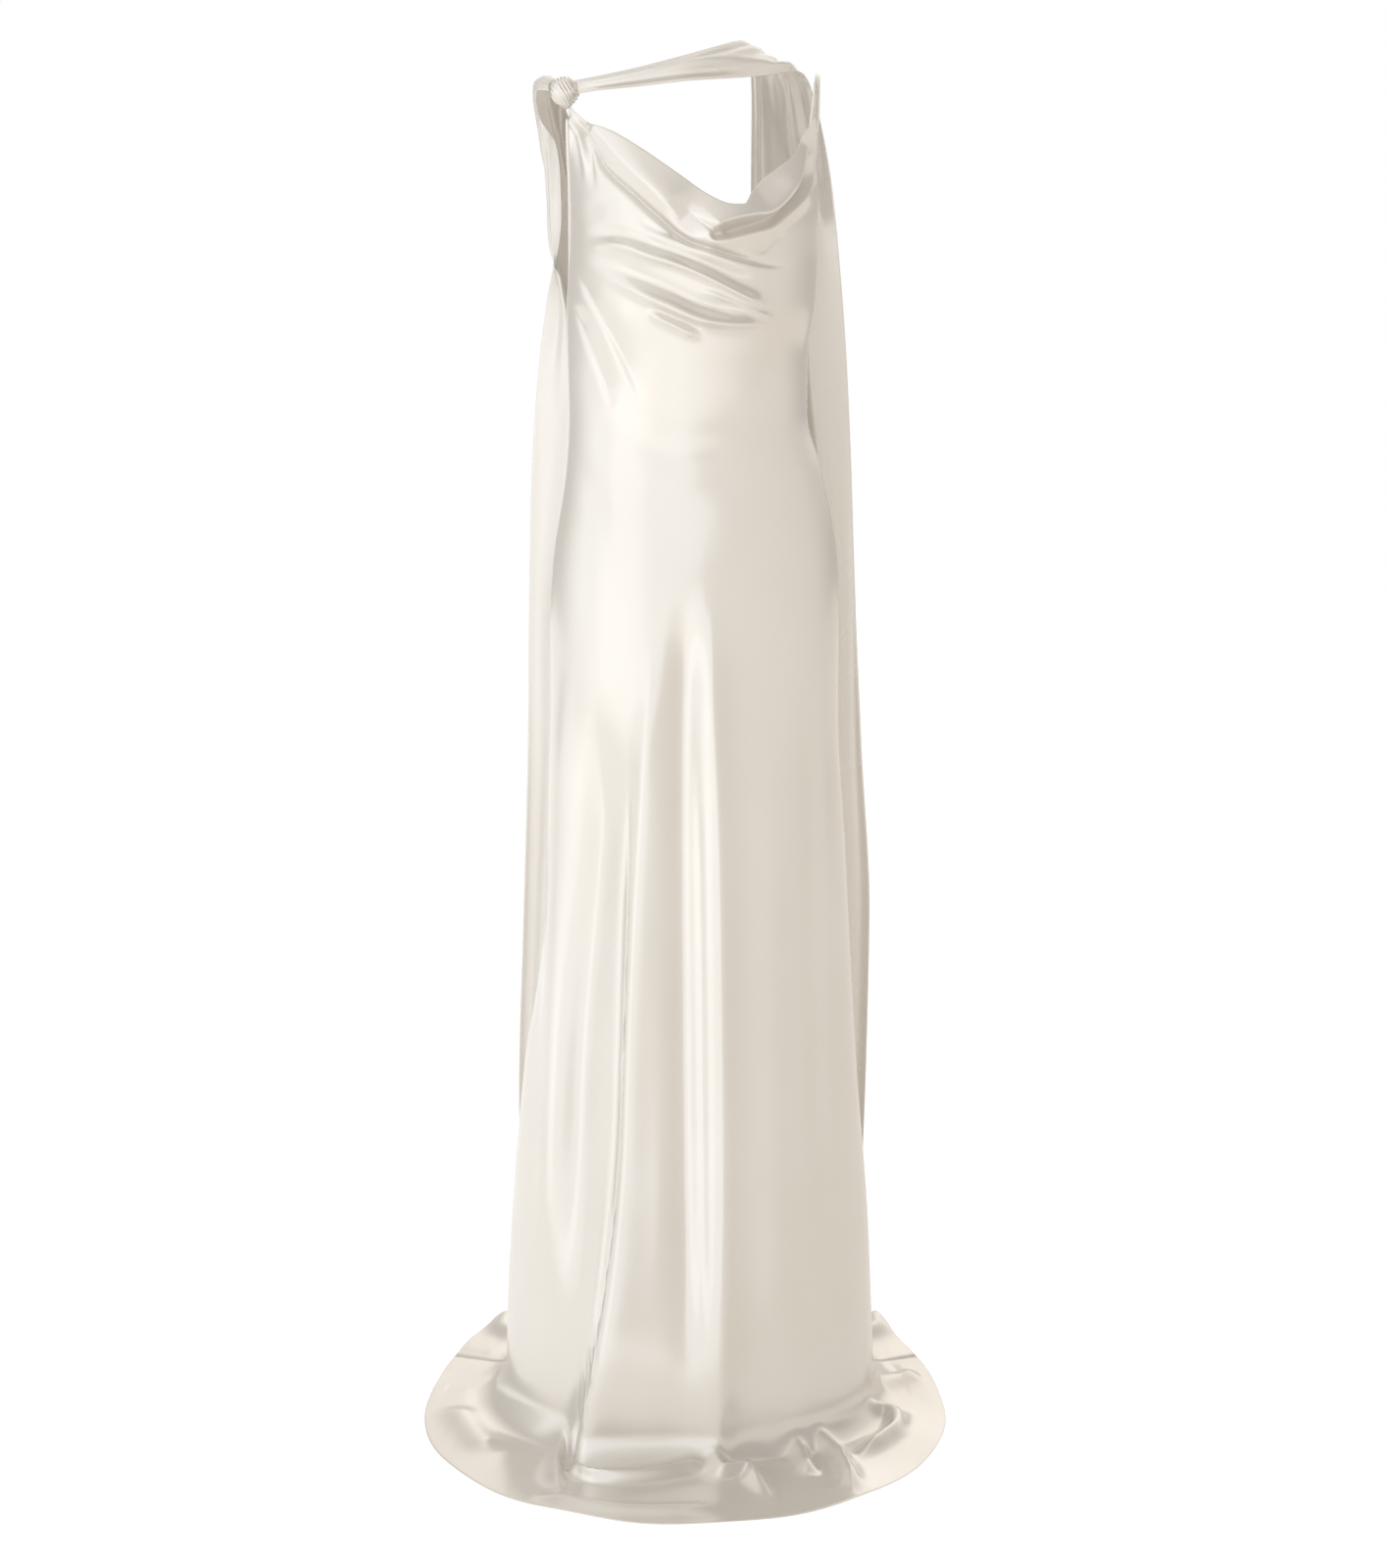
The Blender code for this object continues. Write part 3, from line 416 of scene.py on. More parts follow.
@dataclass(frozen=True)
class Satin:
    """Ivory satin: pale and softly metallic, with faint crush marks, slubs and a fine weave."""

    name: str
    colour: Point = (0.765, 0.730, 0.682)
    shade: Point = (0.720, 0.678, 0.620)
    shade_share: float = 0.75
    metallic: float = 0.42
    roughness: float = 0.21
    roughness_swing: float = 0.06
    refraction: float = 1.7
    shine: float = 0.9
    sheen: float = 0.10
    sheen_roughness: float = 0.35
    see_through: float = 0.0
    glow_reach: float = 0.004
    glow_tint: Point = (1.0, 0.96, 0.90)
    crush_size: Pair = (0.14, 0.22)
    crush_depth: float = 0.0011
    slub_size: Pair = (0.017, 0.0024)
    slub_depth: float = 0.000006
    weave_size: Pair = (0.0008, 0.0004)
    weave_depth: float = 0.0000010
    bias: float = math.radians(45)

    def noise(self, graph: Graph, size: Pair, turn: float, detail: float) -> Socket:
        """Noise around 0.5 over the cut cloth.

        Args:
            graph: the material's nodes.
            size: the size of its features in metres, along its two axes.
            turn: the angle of those axes to the cloth's.
            detail: how many finer layers it has.

        Returns:
            The noise.
        """
        cloth = graph.node("ShaderNodeUVMap", {"uv_map": "cloth"})
        mapped = graph.node("ShaderNodeMapping", {"vector_type": "TEXTURE"}, {
            "Vector": cloth, "Scale": (*size, 1.0), "Rotation": (0.0, 0.0, turn)})
        return 0.5 + 0.5 * graph.node("ShaderNodeTexNoise", {
            "noise_dimensions": "2D", "normalize": False}, {
                "Vector": mapped, "Scale": 1.0, "Detail": detail, "Roughness": 0.5})

    def bump(self, graph: Graph, height: Socket, depth: float, below: Optional[Socket] = None) -> Socket:
        """A relief in the cloth.

        Args:
            graph: the material's nodes.
            height: its height, from 0 to 1.
            depth: that height's full depth in metres.
            below: the normals of the relief that it lies on.

        Returns:
            The normals.
        """
        under = {} if below is None else {"Normal": below}
        return graph.node("ShaderNodeBump", {}, {
            "Height": height, "Distance": depth, "Strength": 1.0, **under})

    def material(self) -> bpy.types.Material:
        """The satin, crushed, slubbed and woven one over the other.

        Returns:
            The new material.
        """
        made = bpy.data.materials.new(self.name)
        made.use_nodes = True
        graph = Graph(made.node_tree)
        crush = self.noise(graph, self.crush_size, 0.0, 2.0)
        slub = self.noise(graph, self.slub_size, self.bias, 1.0)
        weave = self.noise(graph, self.weave_size, self.bias, 0.0)
        normal = self.bump(graph, crush, self.crush_depth)
        normal = self.bump(graph, slub, self.slub_depth, normal)
        normal = self.bump(graph, weave, self.weave_depth, normal)
        satin = graph.node("ShaderNodeBsdfPrincipled", {}, {
            "Base Color": graph.blend(self.shade_share * crush, self.colour, self.shade),
            "Metallic": self.metallic,
            "Roughness": self.roughness + self.roughness_swing * (crush - 0.5),
            "IOR": self.refraction,
            "Specular IOR Level": self.shine,
            "Sheen Weight": self.sheen,
            "Sheen Roughness": self.sheen_roughness,
            "Subsurface Weight": self.see_through,
            "Subsurface Scale": self.glow_reach,
            "Subsurface Radius": self.glow_tint,
            "Normal": normal})
        graph.node("ShaderNodeOutputMaterial", {}, {"Surface": satin})
        return made


# ------------------------------------------------------------------ folds
class Crest(Enum):
    """How a fold turns at its line: the power in exp(-(distance / width) ** power)."""

    SOFT = 2.0
    FIRM = 1.5
    SHARP = 1.1


# the pieces between two points of a fold's line, the half widths past which a fold is nothing, and
# the share of its length that it stands for past its ends
LINE_PIECES = 7
FOLD_REACH = 3.4
FOLD_MARGIN = 0.02


@dataclass(frozen=True)
class Fold:
    """A ridge, or a trough where rise is below 0, that runs along a line on the cloth.

    Sizes and places are in millimetres.  Above is the half width to the left of the line's
    direction, and below is the other one.  The fades are shares of the line's length.  Lean carries
    the cloth that far over towards above, so that a ridge overhangs.
    """

    rise: float
    above: float
    below: float
    line: tuple[Pair, ...]
    crest: Crest = Crest.SOFT
    fade_in: float = 0.22
    fade_out: float = 0.22
    lean: float = 0.0

    def push(self, first: Grid, second: Grid) -> Grid:
        """How far the fold moves the cloth out, and along the first and second directions.

        The shape is exp(-(distance / half width) ** power) of the nearest point of a smooth line,
        and it fades in and out along the line by a smooth step.

        Args:
            first: the cloth's first coordinate, across.
            second: its second coordinate, the height or the depth.

        Returns:
            One row of three moves for each place.
        """
        rise, above, below, lean = np.array((self.rise, self.above, self.below, self.lean)) / MILLIMETRES
        line = np.array(self.line) / MILLIMETRES
        steps = np.linspace(0, len(line) - 1, LINE_PIECES * (len(line) - 1) + 1)
        path = curve_through(np.arange(len(line)), line, steps)
        reach = FOLD_REACH * max(above, below)
        low, high = path.min(axis=0) - reach, path.max(axis=0) + reach
        near = (first > low[0]) & (first < high[0]) & (second > low[1]) & (second < high[1])
        start, run = path[:-1], np.diff(path, axis=0)
        offset = np.stack((first[near], second[near]), -1)[:, None, :] - start
        t = np.clip((offset * run).sum(axis=-1) / (run ** 2).sum(axis=1), 0, 1)
        gap = offset - t[..., None] * run
        away = np.linalg.norm(gap, axis=-1)
        nearest = away.argmin(axis=1)
        each = np.arange(len(nearest))
        gap, away, t, run = gap[each, nearest], away[each, nearest], t[each, nearest], run[nearest]
        is_above = run[:, 0] * gap[:, 1] - run[:, 1] * gap[:, 0] > 0
        along = (nearest + t) / len(start)
        shape = np.exp(-(away / np.where(is_above, above, below)) ** self.crest.value)
        shape *= ease(-FOLD_MARGIN, self.fade_in, along)
        shape *= 1 - ease(1 - self.fade_out, 1 + FOLD_MARGIN, along)
        over = lean * unit(np.stack((-run[:, 1], run[:, 0]), -1))
        moves = np.zeros((*first.shape, 3))
        moves[near] = shape[:, None] * np.column_stack((np.full(len(shape), rise), over))
        return moves


@dataclass(frozen=True)
class LongFold:
    """A fold that runs down the scarf.

    Its course is given at some of the scarf's rows by its place across, from 0 to 1.  The rise is in
    millimetres, and the half width is a share of the scarf's width.
    """

    rise: float
    width: float
    course: tuple[Pair, ...]
    crest: Crest = Crest.SOFT
    fade_before: float = 0.3
    fade_within: float = 0.7

    def push(self, row: Grid, place: Grid) -> Grid:
        """Rise of the fold: the crest's bell across, faded over one row at each end.

        Args:
            row: rows of the scarf.
            place: places across it.

        Returns:
            The rise in metres for each place.
        """
        rows, places = np.array(self.course).T
        centre = curve_through(rows, places, row)
        shape = np.exp(-(np.abs(place - centre) / self.width) ** self.crest.value)
        ends = ease(rows[0] - self.fade_before, rows[0] + self.fade_within, row)
        ends *= 1 - ease(rows[-1] - self.fade_within, rows[-1] + self.fade_before, row)
        return self.rise / MILLIMETRES * shape * ends


SOFT, FIRM, SHARP = Crest.SOFT, Crest.FIRM, Crest.SHARP


# ------------------------------------------------------------------ the gown's form
class Ring(IntEnum):
    """The columns of the table of rings: lengths in metres and edge angles in degrees."""

    HEIGHT = 0
    LEFT_WIDTH = 1
    RIGHT_WIDTH = 2
    LEFT_EDGE = 3
    RIGHT_EDGE = 4
    FRONT_DEPTH = 5
    BACK_DEPTH = 6


@dataclass
class GownForm:
    """The worn gown's level rings, edges and hem, which its panels share."""

    rings: tuple[tuple[float, ...], ...] = (
        # height, half width left and right, edge angle left and right, depth in front and behind
        (1.440, 0.1500, 0.1950, 55.0, 40.0, 0.062, 0.050),
        (1.410, 0.1410, 0.1710, 62.5, 50.1, 0.078, 0.062),
        (1.360, 0.1300, 0.1454, 74.9, 67.7, 0.100, 0.085),
        (1.310, 0.1263, 0.1372, 84.5, 82.9, 0.114, 0.098),
        (1.260, 0.1268, 0.1365, 92.0, 92.0, 0.121, 0.102),
        (1.215, 0.1300, 0.1340, 98.0, 98.0, 0.120, 0.102),
        (1.160, 0.1295, 0.1265, 98.0, 98.0, 0.108, 0.095),
        (1.100, 0.1285, 0.1265, 98.0, 98.0, 0.098, 0.086),
        (1.040, 0.1320, 0.1425, 98.0, 98.0, 0.097, 0.090),
        (0.945, 0.1465, 0.1600, 99.0, 99.0, 0.108, 0.120),
        (0.860, 0.1505, 0.1620, 100.0, 100.0, 0.111, 0.130),
        (0.760, 0.1500, 0.1625, 102.0, 102.0, 0.113, 0.132),
        (0.640, 0.1535, 0.1705, 103.0, 103.0, 0.120, 0.138),
        (0.515, 0.1660, 0.1775, 104.0, 104.0, 0.132, 0.150),
        (0.385, 0.1825, 0.1855, 106.0, 106.0, 0.150, 0.172),
        (0.210, 0.1985, 0.2000, 108.0, 108.0, 0.178, 0.212),
        (0.100, 0.2045, 0.2050, 109.0, 109.0, 0.194, 0.235),
        (0.000, 0.2060, 0.2100, 110.0, 110.0, 0.202, 0.250),
    )
    neckline: tuple[Pair, ...] = (
        # distance right of the middle, height
        (-0.1252, 1.4192), (-0.1100, 1.4045), (-0.0710, 1.3860), (-0.0440, 1.3690),
        (-0.0080, 1.3440), (0.0190, 1.3260), (0.0400, 1.3165), (0.0530, 1.3160),
        (0.0640, 1.3290), (0.0750, 1.3410), (0.0910, 1.3540), (0.1080, 1.3690),
        (0.1190, 1.3870), (0.1310, 1.4060),
    )
    back_edge: tuple[Pair, ...] = (
        # 0 at the centre back and 1 at the side seam, height
        (0.00, 1.020), (0.15, 1.034), (0.30, 1.092), (0.42, 1.166), (0.49, 1.199), (0.62, 1.200),
        (0.80, 1.205), (1.00, 1.213),
    )
    chest_line: float = 1.19
    back_level: float = 0.98055
    bend_height: float = 0.038
    hem_centre: Pair = (-0.0045, -0.045)
    hem_half_width: float = 0.2880
    hem_front_spread: float = 0.009
    hem_front_reach: float = 0.3215
    hem_back_reach: float = 0.475
    over_edge: float = 0.05
    arc_limit: float = 0.999

    def _ring(self, column: Ring, height: Grid) -> Grid:
        """One column of the rings, read at some heights."""
        table = np.array(self.rings)
        return curve_through(table[:, Ring.HEIGHT], table[:, column], height)

    def width(self, height: Grid, is_left: Grid) -> Grid:
        """Half width of the ring on one side."""
        return np.where(is_left, self._ring(Ring.LEFT_WIDTH, height), self._ring(Ring.RIGHT_WIDTH, height))

    def edge_angle(self, height: Grid, is_left: Grid) -> Grid:
        """Angle from the front, in radians, of the side seam or armhole edge."""
        left, right = self._ring(Ring.LEFT_EDGE, height), self._ring(Ring.RIGHT_EDGE, height)
        return np.radians(np.where(is_left, left, right))

    def point(self, angle: Grid, height: Grid, is_left: Grid) -> Grid:
        """Points of the rings: half width * sin(angle) across, and depth * cos(angle) to the front.

        Args:
            angle: angles from the front.
            height: the rings' heights.
            is_left: where the points are on the left of the view.

        Returns:
            One point for each angle.
        """
        x = np.where(is_left, -1.0, 1.0) * self.width(height, is_left) * np.sin(angle)
        front, back = self._ring(Ring.FRONT_DEPTH, height), self._ring(Ring.BACK_DEPTH, height)
        depth = np.where(angle < math.pi / 2, front, back)
        return np.stack(np.broadcast_arrays(x, -depth * np.cos(angle), height), axis=-1)

    def half_seam(self, height: Grid, is_left: Grid) -> Grid:
        """Half of the seam's gap, as an angle."""
        edge = self.point(self.edge_angle(height, is_left), height, is_left)
        return SEAM_GAP / 2 / np.linalg.norm(edge[..., :2], axis=-1)

    def hem(self, angle: Grid, is_left: Grid) -> tuple[Grid, Grid]:
        """Across and depth of the hem on the floor: an ellipse, fuller in front and longer behind.

        It lies (half width + spread * cos(angle)) * sin(angle) across from its centre, and
        reach * cos(angle) to the front.

        Args:
            angle: angles from the front.
            is_left: where the points are on the left of the view.

        Returns:
            The distances across, and the depths.
        """
        reach = np.where(angle < math.pi / 2, self.hem_front_reach, self.hem_back_reach)
        width = self.hem_half_width + self.hem_front_spread * np.cos(angle)
        x = self.hem_centre[0] + np.where(is_left, -1.0, 1.0) * width * np.sin(angle)
        return x, self.hem_centre[1] - reach * np.cos(angle)

    def pool(self, angle: Grid, is_left: Grid, run: Grid) -> Grid:
        """The quarter turn at the floor, then the floor out to the hem.

        The turn goes out from the wall's foot by radius * (1 - cos(turn)), and down by
        radius * sin(turn).

        Args:
            angle: angles from the front.
            is_left: where the points are on the left of the view.
            run: 0 to 1 round the turn, and 1 to 2 out to the hem.

        Returns:
            One point for each angle.
        """
        foot = self.point(angle, np.full_like(angle, self.bend_height), is_left)
        hem_x, hem_y = self.hem(angle, is_left)
        away = np.stack((hem_x - foot[..., 0], hem_y - foot[..., 1]), -1)
        reach = np.linalg.norm(away, axis=-1)
        radius = self.bend_height - CLOTH - FLOOR_REST
        turn = np.clip(run, 0, 1) * math.pi / 2
        out = radius * (1 - np.cos(turn)) + np.clip(run - 1, 0, None) * (reach - radius)
        floor = foot[..., :2] + out[..., None] * away / reach[..., None]
        return np.concatenate((floor, (self.bend_height - radius * np.sin(turn))[..., None]), axis=-1)

    def front(self, row: Grid, place: Grid) -> Grid:
        """Base of the front.

        Args:
            row: -1 to 0 from the neckline to the chest line, 0 to 1 down the skirt, 1 to 2 round the
                bend at the floor and 2 to 3 out to the hem.
            place: -1 at the left seam to 1 at the right.

        Returns:
            One point for each place.
        """
        neck_x, neck_height = np.array(self.neckline).T
        width = self.width(neck_height, neck_x < 0)
        angle = np.arcsin(np.clip(np.abs(neck_x) / width, 0, self.arc_limit))
        neck_place = np.sign(neck_x) * angle / self.edge_angle(neck_height, neck_x < 0)
        is_left = place < 0
        top = curve_through(neck_place, neck_height, place)
        height = self._level(row, top, self.chest_line)
        angle = np.abs(place) * (self.edge_angle(height, is_left) - self.half_seam(height, is_left))
        wall = self.point(angle, height, is_left)
        return np.where((row > 1)[..., None], self.pool(angle, is_left, row - 1), wall)

    def back(self, row: Grid, place: Grid) -> Grid:
        """Base of the back.

        Args:
            row: as the front's, from the scoop.
            place: -1 at the right seam to 1 at the left.

        Returns:
            One point for each place.
        """
        is_left = place > 0
        out = np.abs(place)
        top = curve_through(*np.array(self.back_edge).T, out)
        height = self._level(row, top, self.back_level)
        seam = self.edge_angle(height, is_left) + self.half_seam(height, is_left)
        angle = math.pi - (math.pi - seam) * out
        wall = self.point(angle, height, is_left)
        return np.where((row > 1)[..., None], self.pool(angle, is_left, row - 1), wall)

    def _level(self, row: Grid, top: Grid, middle: float) -> Grid:
        """Height of the rows: straight from the top edge to the middle level, then to the bend.

        Args:
            row: the rows, 0 at the middle level and 1 at the bend.
            top: the top edge's height at each place.
            middle: the middle level.

        Returns:
            One height for each place.
        """
        upper = top + (middle - top) * np.clip(row + 1, -self.over_edge, 1)
        lower = middle + (self.bend_height - middle) * np.clip(row, 0, 1)
        return np.where(row > 0, lower, upper)


@dataclass
class Panel:
    """One gown panel: a base surface, the folds of its wall and those that lie on the floor."""

    base: Surface
    wall_folds: tuple[Fold, ...]
    pool_folds: tuple[Fold, ...]
    ripple: float = 0.0010
    ripples: float = 7.0
    seam_fade: Pair = (0.955, 0.995)
    wall_fade: Pair = (1.90, 2.50)
    floor_fade: Pair = (1.15, 1.95)
    ripple_fade: Pair = (2.0, 2.3)
    last_wall_row: float = 0.99

    def surface(self, row: Grid, place: Grid) -> Grid:
        """The base moved out along its wall's normals by the folds, and lifted on the floor.

        The bend is carried out with the wall above it, so it keeps its radius.  Low ripples of
        ripple * (1 + sin(ripples * pi * place)) run from the bend to the hem.

        Args:
            row: the base's rows.
            place: the base's places.

        Returns:
            One point for each place.
        """
        point = self.base(row, place)
        free = 1 - ease(*self.seam_fade, np.abs(place))
        wall = sum((fold.push(point[..., 0], point[..., 2]) for fold in self.wall_folds),
                   np.zeros_like(point))
        lift = sum((fold.push(point[..., 0], point[..., 1]) for fold in self.pool_folds),
                   np.zeros_like(point))
        wall *= ((1 - ease(*self.wall_fade, row)) * free)[..., None]
        lift *= (ease(*self.floor_fade, row) * free)[..., None]
        waves = self.ripple * ease(*self.ripple_fade, row) * (1 + np.sin(self.ripples * math.pi * place))
        outward = surface_normal(self.base, np.minimum(row, self.last_wall_row), place)
        moved = point + outward * wall[..., :1]
        moved[..., 0] += wall[..., 1] + lift[..., 1]
        moved[..., 1] += lift[..., 2]
        moved[..., 2] += wall[..., 2] + lift[..., 0] + waves * free
        moved[..., 2] = np.maximum(moved[..., 2], CLOTH + FLOOR_REST)
        return moved

    def grid(self, rows: Grid, places: Grid) -> Grid:
        """The surface's points over every pair of a row and a place."""
        return self.surface(*np.meshgrid(rows, places, indexing="ij"))


# Rise, half widths above and below, line, crest, fade in and out, and lean.  A wall's line is of
# (across, height) points, and a pool's is of (across, depth) ones.
FRONT_WALL_FOLDS = (
    # the cowl: the upper face of its roll, its inner flap, and the second roll under it
    Fold(11, 26, 9, ((-104, 1402), (-86, 1384), (-70, 1365), (-53, 1347), (-36, 1331), (-20, 1314),
                     (-6, 1299)), FIRM, 0.1, 0.25),
    Fold(16, 16, 4.2, ((23, 1289), (30, 1296), (46, 1302), (64, 1306), (80, 1309), (95, 1323), (106, 1341),
                       (117, 1363), (124, 1380)), FIRM, 0.1, 0.3, lean=-2),
    Fold(-6, 4.5, 4, ((34, 1286), (46, 1290), (73, 1299), (91, 1310), (108, 1332), (121, 1358),
                      (126, 1370)), FIRM, 0.1, 0.3),
    Fold(8.5, 3.4, 9, ((26, 1292), (20, 1285), (26, 1278), (40, 1280), (59, 1285), (82, 1292), (98, 1306),
                       (113, 1321), (125, 1340), (132, 1362)), FIRM, 0.1, 0.2),
    Fold(-1.8, 4, 6, ((98, 1289), (84, 1278), (70, 1264))),
    # the crease from the knot across to the wearer's left
    Fold(-8.5, 3, 3.4, ((-117, 1404), (-103, 1382), (-88, 1354), (-58, 1327), (-34, 1306), (-6, 1283),
                        (18, 1273), (48, 1264), (80, 1256), (112, 1254)), FIRM, 0.06, 0.35),
    Fold(3, 6, 8, ((-52, 1291), (-10, 1275), (40, 1260), (80, 1250))),
    Fold(-1.8, 3, 4, ((-52, 1300), (-30, 1289), (-6, 1281))),
    # the gathers under the knot
    Fold(5, 3, 5, ((-124, 1408), (-113, 1383), (-108, 1361), (-106, 1340)), FIRM, 0.05, 0.6),
    Fold(-5, 3.6, 6, ((-117, 1398), (-106, 1374), (-101, 1352), (-97, 1326)), FIRM, 0.1, 0.75),
    Fold(-4, 3.4, 5, ((-125.5, 1400), (-119, 1380), (-114, 1358), (-111, 1332)), FIRM, 0.1, 0.75),
    Fold(-1.4, 12, 12, ((-99, 1326), (-98, 1310), (-98, 1290)), SOFT, 0.4, 0.4),
    # the drapes over the bust: a firm crest under the dark upper face of each one
    Fold(8, 8.5, 5, ((-104, 1277), (-66, 1273), (-41, 1264), (-15, 1256), (9, 1246.5), (35, 1234),
                     (60, 1221.5), (82, 1213.5)), FIRM, 0.16, 0.16),
    Fold(-5.2, 10, 5.5, ((-108, 1288), (-70, 1285), (-41, 1276.5), (-10, 1265.5), (20, 1252.5),
                         (50, 1236.5), (78, 1222.5)), SOFT, 0.16),
    Fold(8.8, 8.5, 6, ((-104, 1250), (-65, 1233.5), (-41, 1222.5), (-15, 1210.5), (9, 1201), (35, 1197),
                       (60, 1195.5), (90, 1193.5)), FIRM, 0.3, 0.2),
    Fold(-5, 10, 6, ((-108, 1266), (-65, 1247.5), (-41, 1237.5), (-15, 1226.5), (9, 1215), (35, 1207),
                     (60, 1202)), SOFT, 0.25),
    Fold(3, 4, 3, ((10, 1230), (45, 1217.5), (70, 1207), (90, 1200)), FIRM),
    Fold(5.8, 5, 4.5, ((-44, 1207.6), (-15, 1194.6), (15, 1180)), FIRM, 0.3, 0.3),
    Fold(-4, 7, 4, ((-44, 1214), (-13, 1201), (18, 1187)), SOFT, 0.3, 0.3),
    # drag lines from the side seam to the waist
    Fold(-3, 16, 2.6, ((-119, 1252), (-104, 1222), (-86, 1190), (-69, 1158), (-48, 1114)), FIRM),
    Fold(-2.6, 14, 2.6, ((-124, 1220), (-108, 1180), (-94, 1145), (-80, 1108)), FIRM),
    Fold(-1.4, 9, 12, ((118, 1196), (92, 1160), (66, 1126))),
    Fold(-1.8, 8, 10, ((-62, 1075), (-10, 1058), (50, 1064))),
    Fold(-1.6, 10, 12, ((-124, 1060), (-96, 1010), (-80, 950))),
    # the skirt's long folds
    Fold(-12, 16, 17, ((0, 900), (-2, 830), (-4, 770), (-5, 660), (-4, 500), (-2, 300),
                       (0, 100)), SOFT, 0.16, 0.12),
    Fold(30, 85, 24, ((-76, 340), (-78, 220), (-88, 90), (-100, -20)), SOFT, 0.7, 0.02),
    Fold(14, 18, 30, ((20, 885), (24, 800), (31, 660), (34, 500), (36, 300), (34, 150), (30, 30),
                      (28, -60)), FIRM, 0.14, 0.04),
    Fold(-2.6, 4, 4, ((8, 740), (11, 650), (13, 520), (14.5, 380), (15.5, 220), (16, 120))),
    Fold(12, 24, 13, ((-36, 850), (-43, 760), (-50, 660), (-57, 540), (-64, 420), (-67, 300), (-72, 180),
                      (-88, 60), (-104, -40)), FIRM, 0.16, 0.06),
    Fold(-12, 3.6, 4, ((-62, 740), (-66, 640), (-68, 560), (-70.5, 420), (-75, 300), (-81, 210), (-90, 110),
                       (-108, 40), (-122, -30)), SHARP, 0.25, 0.04),
    Fold(-16, 30, 14, ((-94, 800), (-102, 640), (-121.5, 420), (-126, 240), (-130, 140)), SOFT, 0.22, 0.45),
    Fold(7, 12, 14, ((-134, 830), (-138, 680), (-142, 520), (-150, 300), (-160, 150))),
    Fold(-4.5, 8, 8, ((-156, 640), (-164, 520), (-172, 400))),
    Fold(3, 16, 20, ((90, 760), (90, 620), (88, 480), (92, 280), (100, 80))),
    Fold(-3.5, 12, 14, ((130, 800), (134, 640), (138, 420), (148, 200))),
)
FRONT_POOL_FOLDS = (
    # the lobe at the left, and the crease beside it
    Fold(14, 18, 9, ((-206, 31), (-190, -44), (-176, -94), (-160, -128), (-142, -134),
                     (-128, -112)), SOFT, 0.3, 0.1),
    Fold(-5, 4, 7, ((-276, -2), (-260, 16), (-237, 25), (-213, 62))),
    Fold(6, 18, 18, ((-262, -50), (-238, -120), (-212, -190))),
    # the hook where the middle panel meets the floor, and its long front edge
    Fold(10, 6, 13, ((-132, -118), (-135, -165), (-139, -220), (-133, -296)), FIRM, 0.1),
    Fold(-8, 6, 6, ((-124, -130), (-126, -180), (-128, -230))),
    Fold(15, 20, 7.5, ((-120, -232), (-112, -246), (-95, -251), (-73, -250), (-30, -240), (0, -226),
                       (20, -214)), FIRM, 0.1, 0.15),
    Fold(17, 9, 11, ((21, -150), (27, -206), (34, -236), (49, -240), (62, -238), (71, -268),
                     (87, -326)), FIRM, 0.1),
    Fold(-8, 16, 16, ((64, -120), (80, -172), (96, -220))),
    # the leaf and the curl at the right
    Fold(13, 9, 9, ((106, -130), (115, -169), (122, -212), (124, -250)), FIRM, 0.1),
    Fold(16, 10, 12, ((108, -126), (128, -136), (154, -186), (167, -246), (172, -298)), FIRM, 0.1),
    Fold(-7, 9, 9, ((130, -170), (146, -225), (150, -280))),
    Fold(14, 10, 11, ((192, -80), (214, -71), (229, -90), (226, -125), (210, -153), (196, -174),
                      (176, -206)), SOFT, 0.12),
    Fold(8, 14, 16, ((206, 0), (234, 26), (264, 46))),
    # the low swell along the front
    Fold(7, 14, 14, ((-160, -292), (-120, -318), (-80, -332), (-20, -336), (40, -330))),
)
BACK_WALL_FOLDS = (
    Fold(-8.5, 9, 14, ((-72, 1100), (-40, 1006), (0, 966), (38, 1002), (72, 1092))),
    Fold(7.5, 10, 12, ((-70, 1138), (-38, 1044), (2, 1004), (40, 1042), (72, 1132))),
    Fold(-6, 10, 14, ((-96, 1064), (-50, 962), (-4, 928), (50, 962), (98, 1050))),
    Fold(5, 10, 12, ((-88, 1040), (-44, 984), (4, 950), (48, 986), (90, 1036))),
    Fold(-4, 12, 14, ((-112, 1000), (-62, 920), (0, 888), (64, 922), (114, 992))),
    Fold(-2.8, 6, 8, ((118, 1160), (94, 1110), (80, 1050))),
    Fold(-3, 6, 8, ((-120, 1150), (-98, 1100), (-86, 1030))),
    Fold(14, 18, 20, ((-80, 830), (-90, 640), (-104, 420), (-116, 200), (-124, 20)), SOFT, 0.18, 0.05),
    Fold(-12, 16, 18, ((-40, 850), (-46, 660), (-56, 380), (-64, 60))),
    Fold(-5, 3.5, 4, ((-94, 560), (-104, 400), (-112, 240), (-120, 80)), FIRM),
    Fold(15, 18, 16, ((-4, 820), (-6, 620), (-10, 380), (-12, 180), (-14, 20)), SOFT, 0.16, 0.05),
    Fold(-12, 17, 20, ((34, 860), (42, 640), (50, 380), (56, 60))),
    Fold(13, 18, 19, ((80, 810), (94, 560), (106, 320), (118, 100), (122, 20)), SOFT, 0.16, 0.05),
    Fold(-5, 4, 4, ((6, 600), (4, 420), (2, 260), (0, 120)), FIRM),
    Fold(-8, 14, 14, ((150, 700), (158, 480), (170, 240))),
    Fold(-8, 14, 14, ((-142, 720), (-154, 460), (-168, 220))),
)
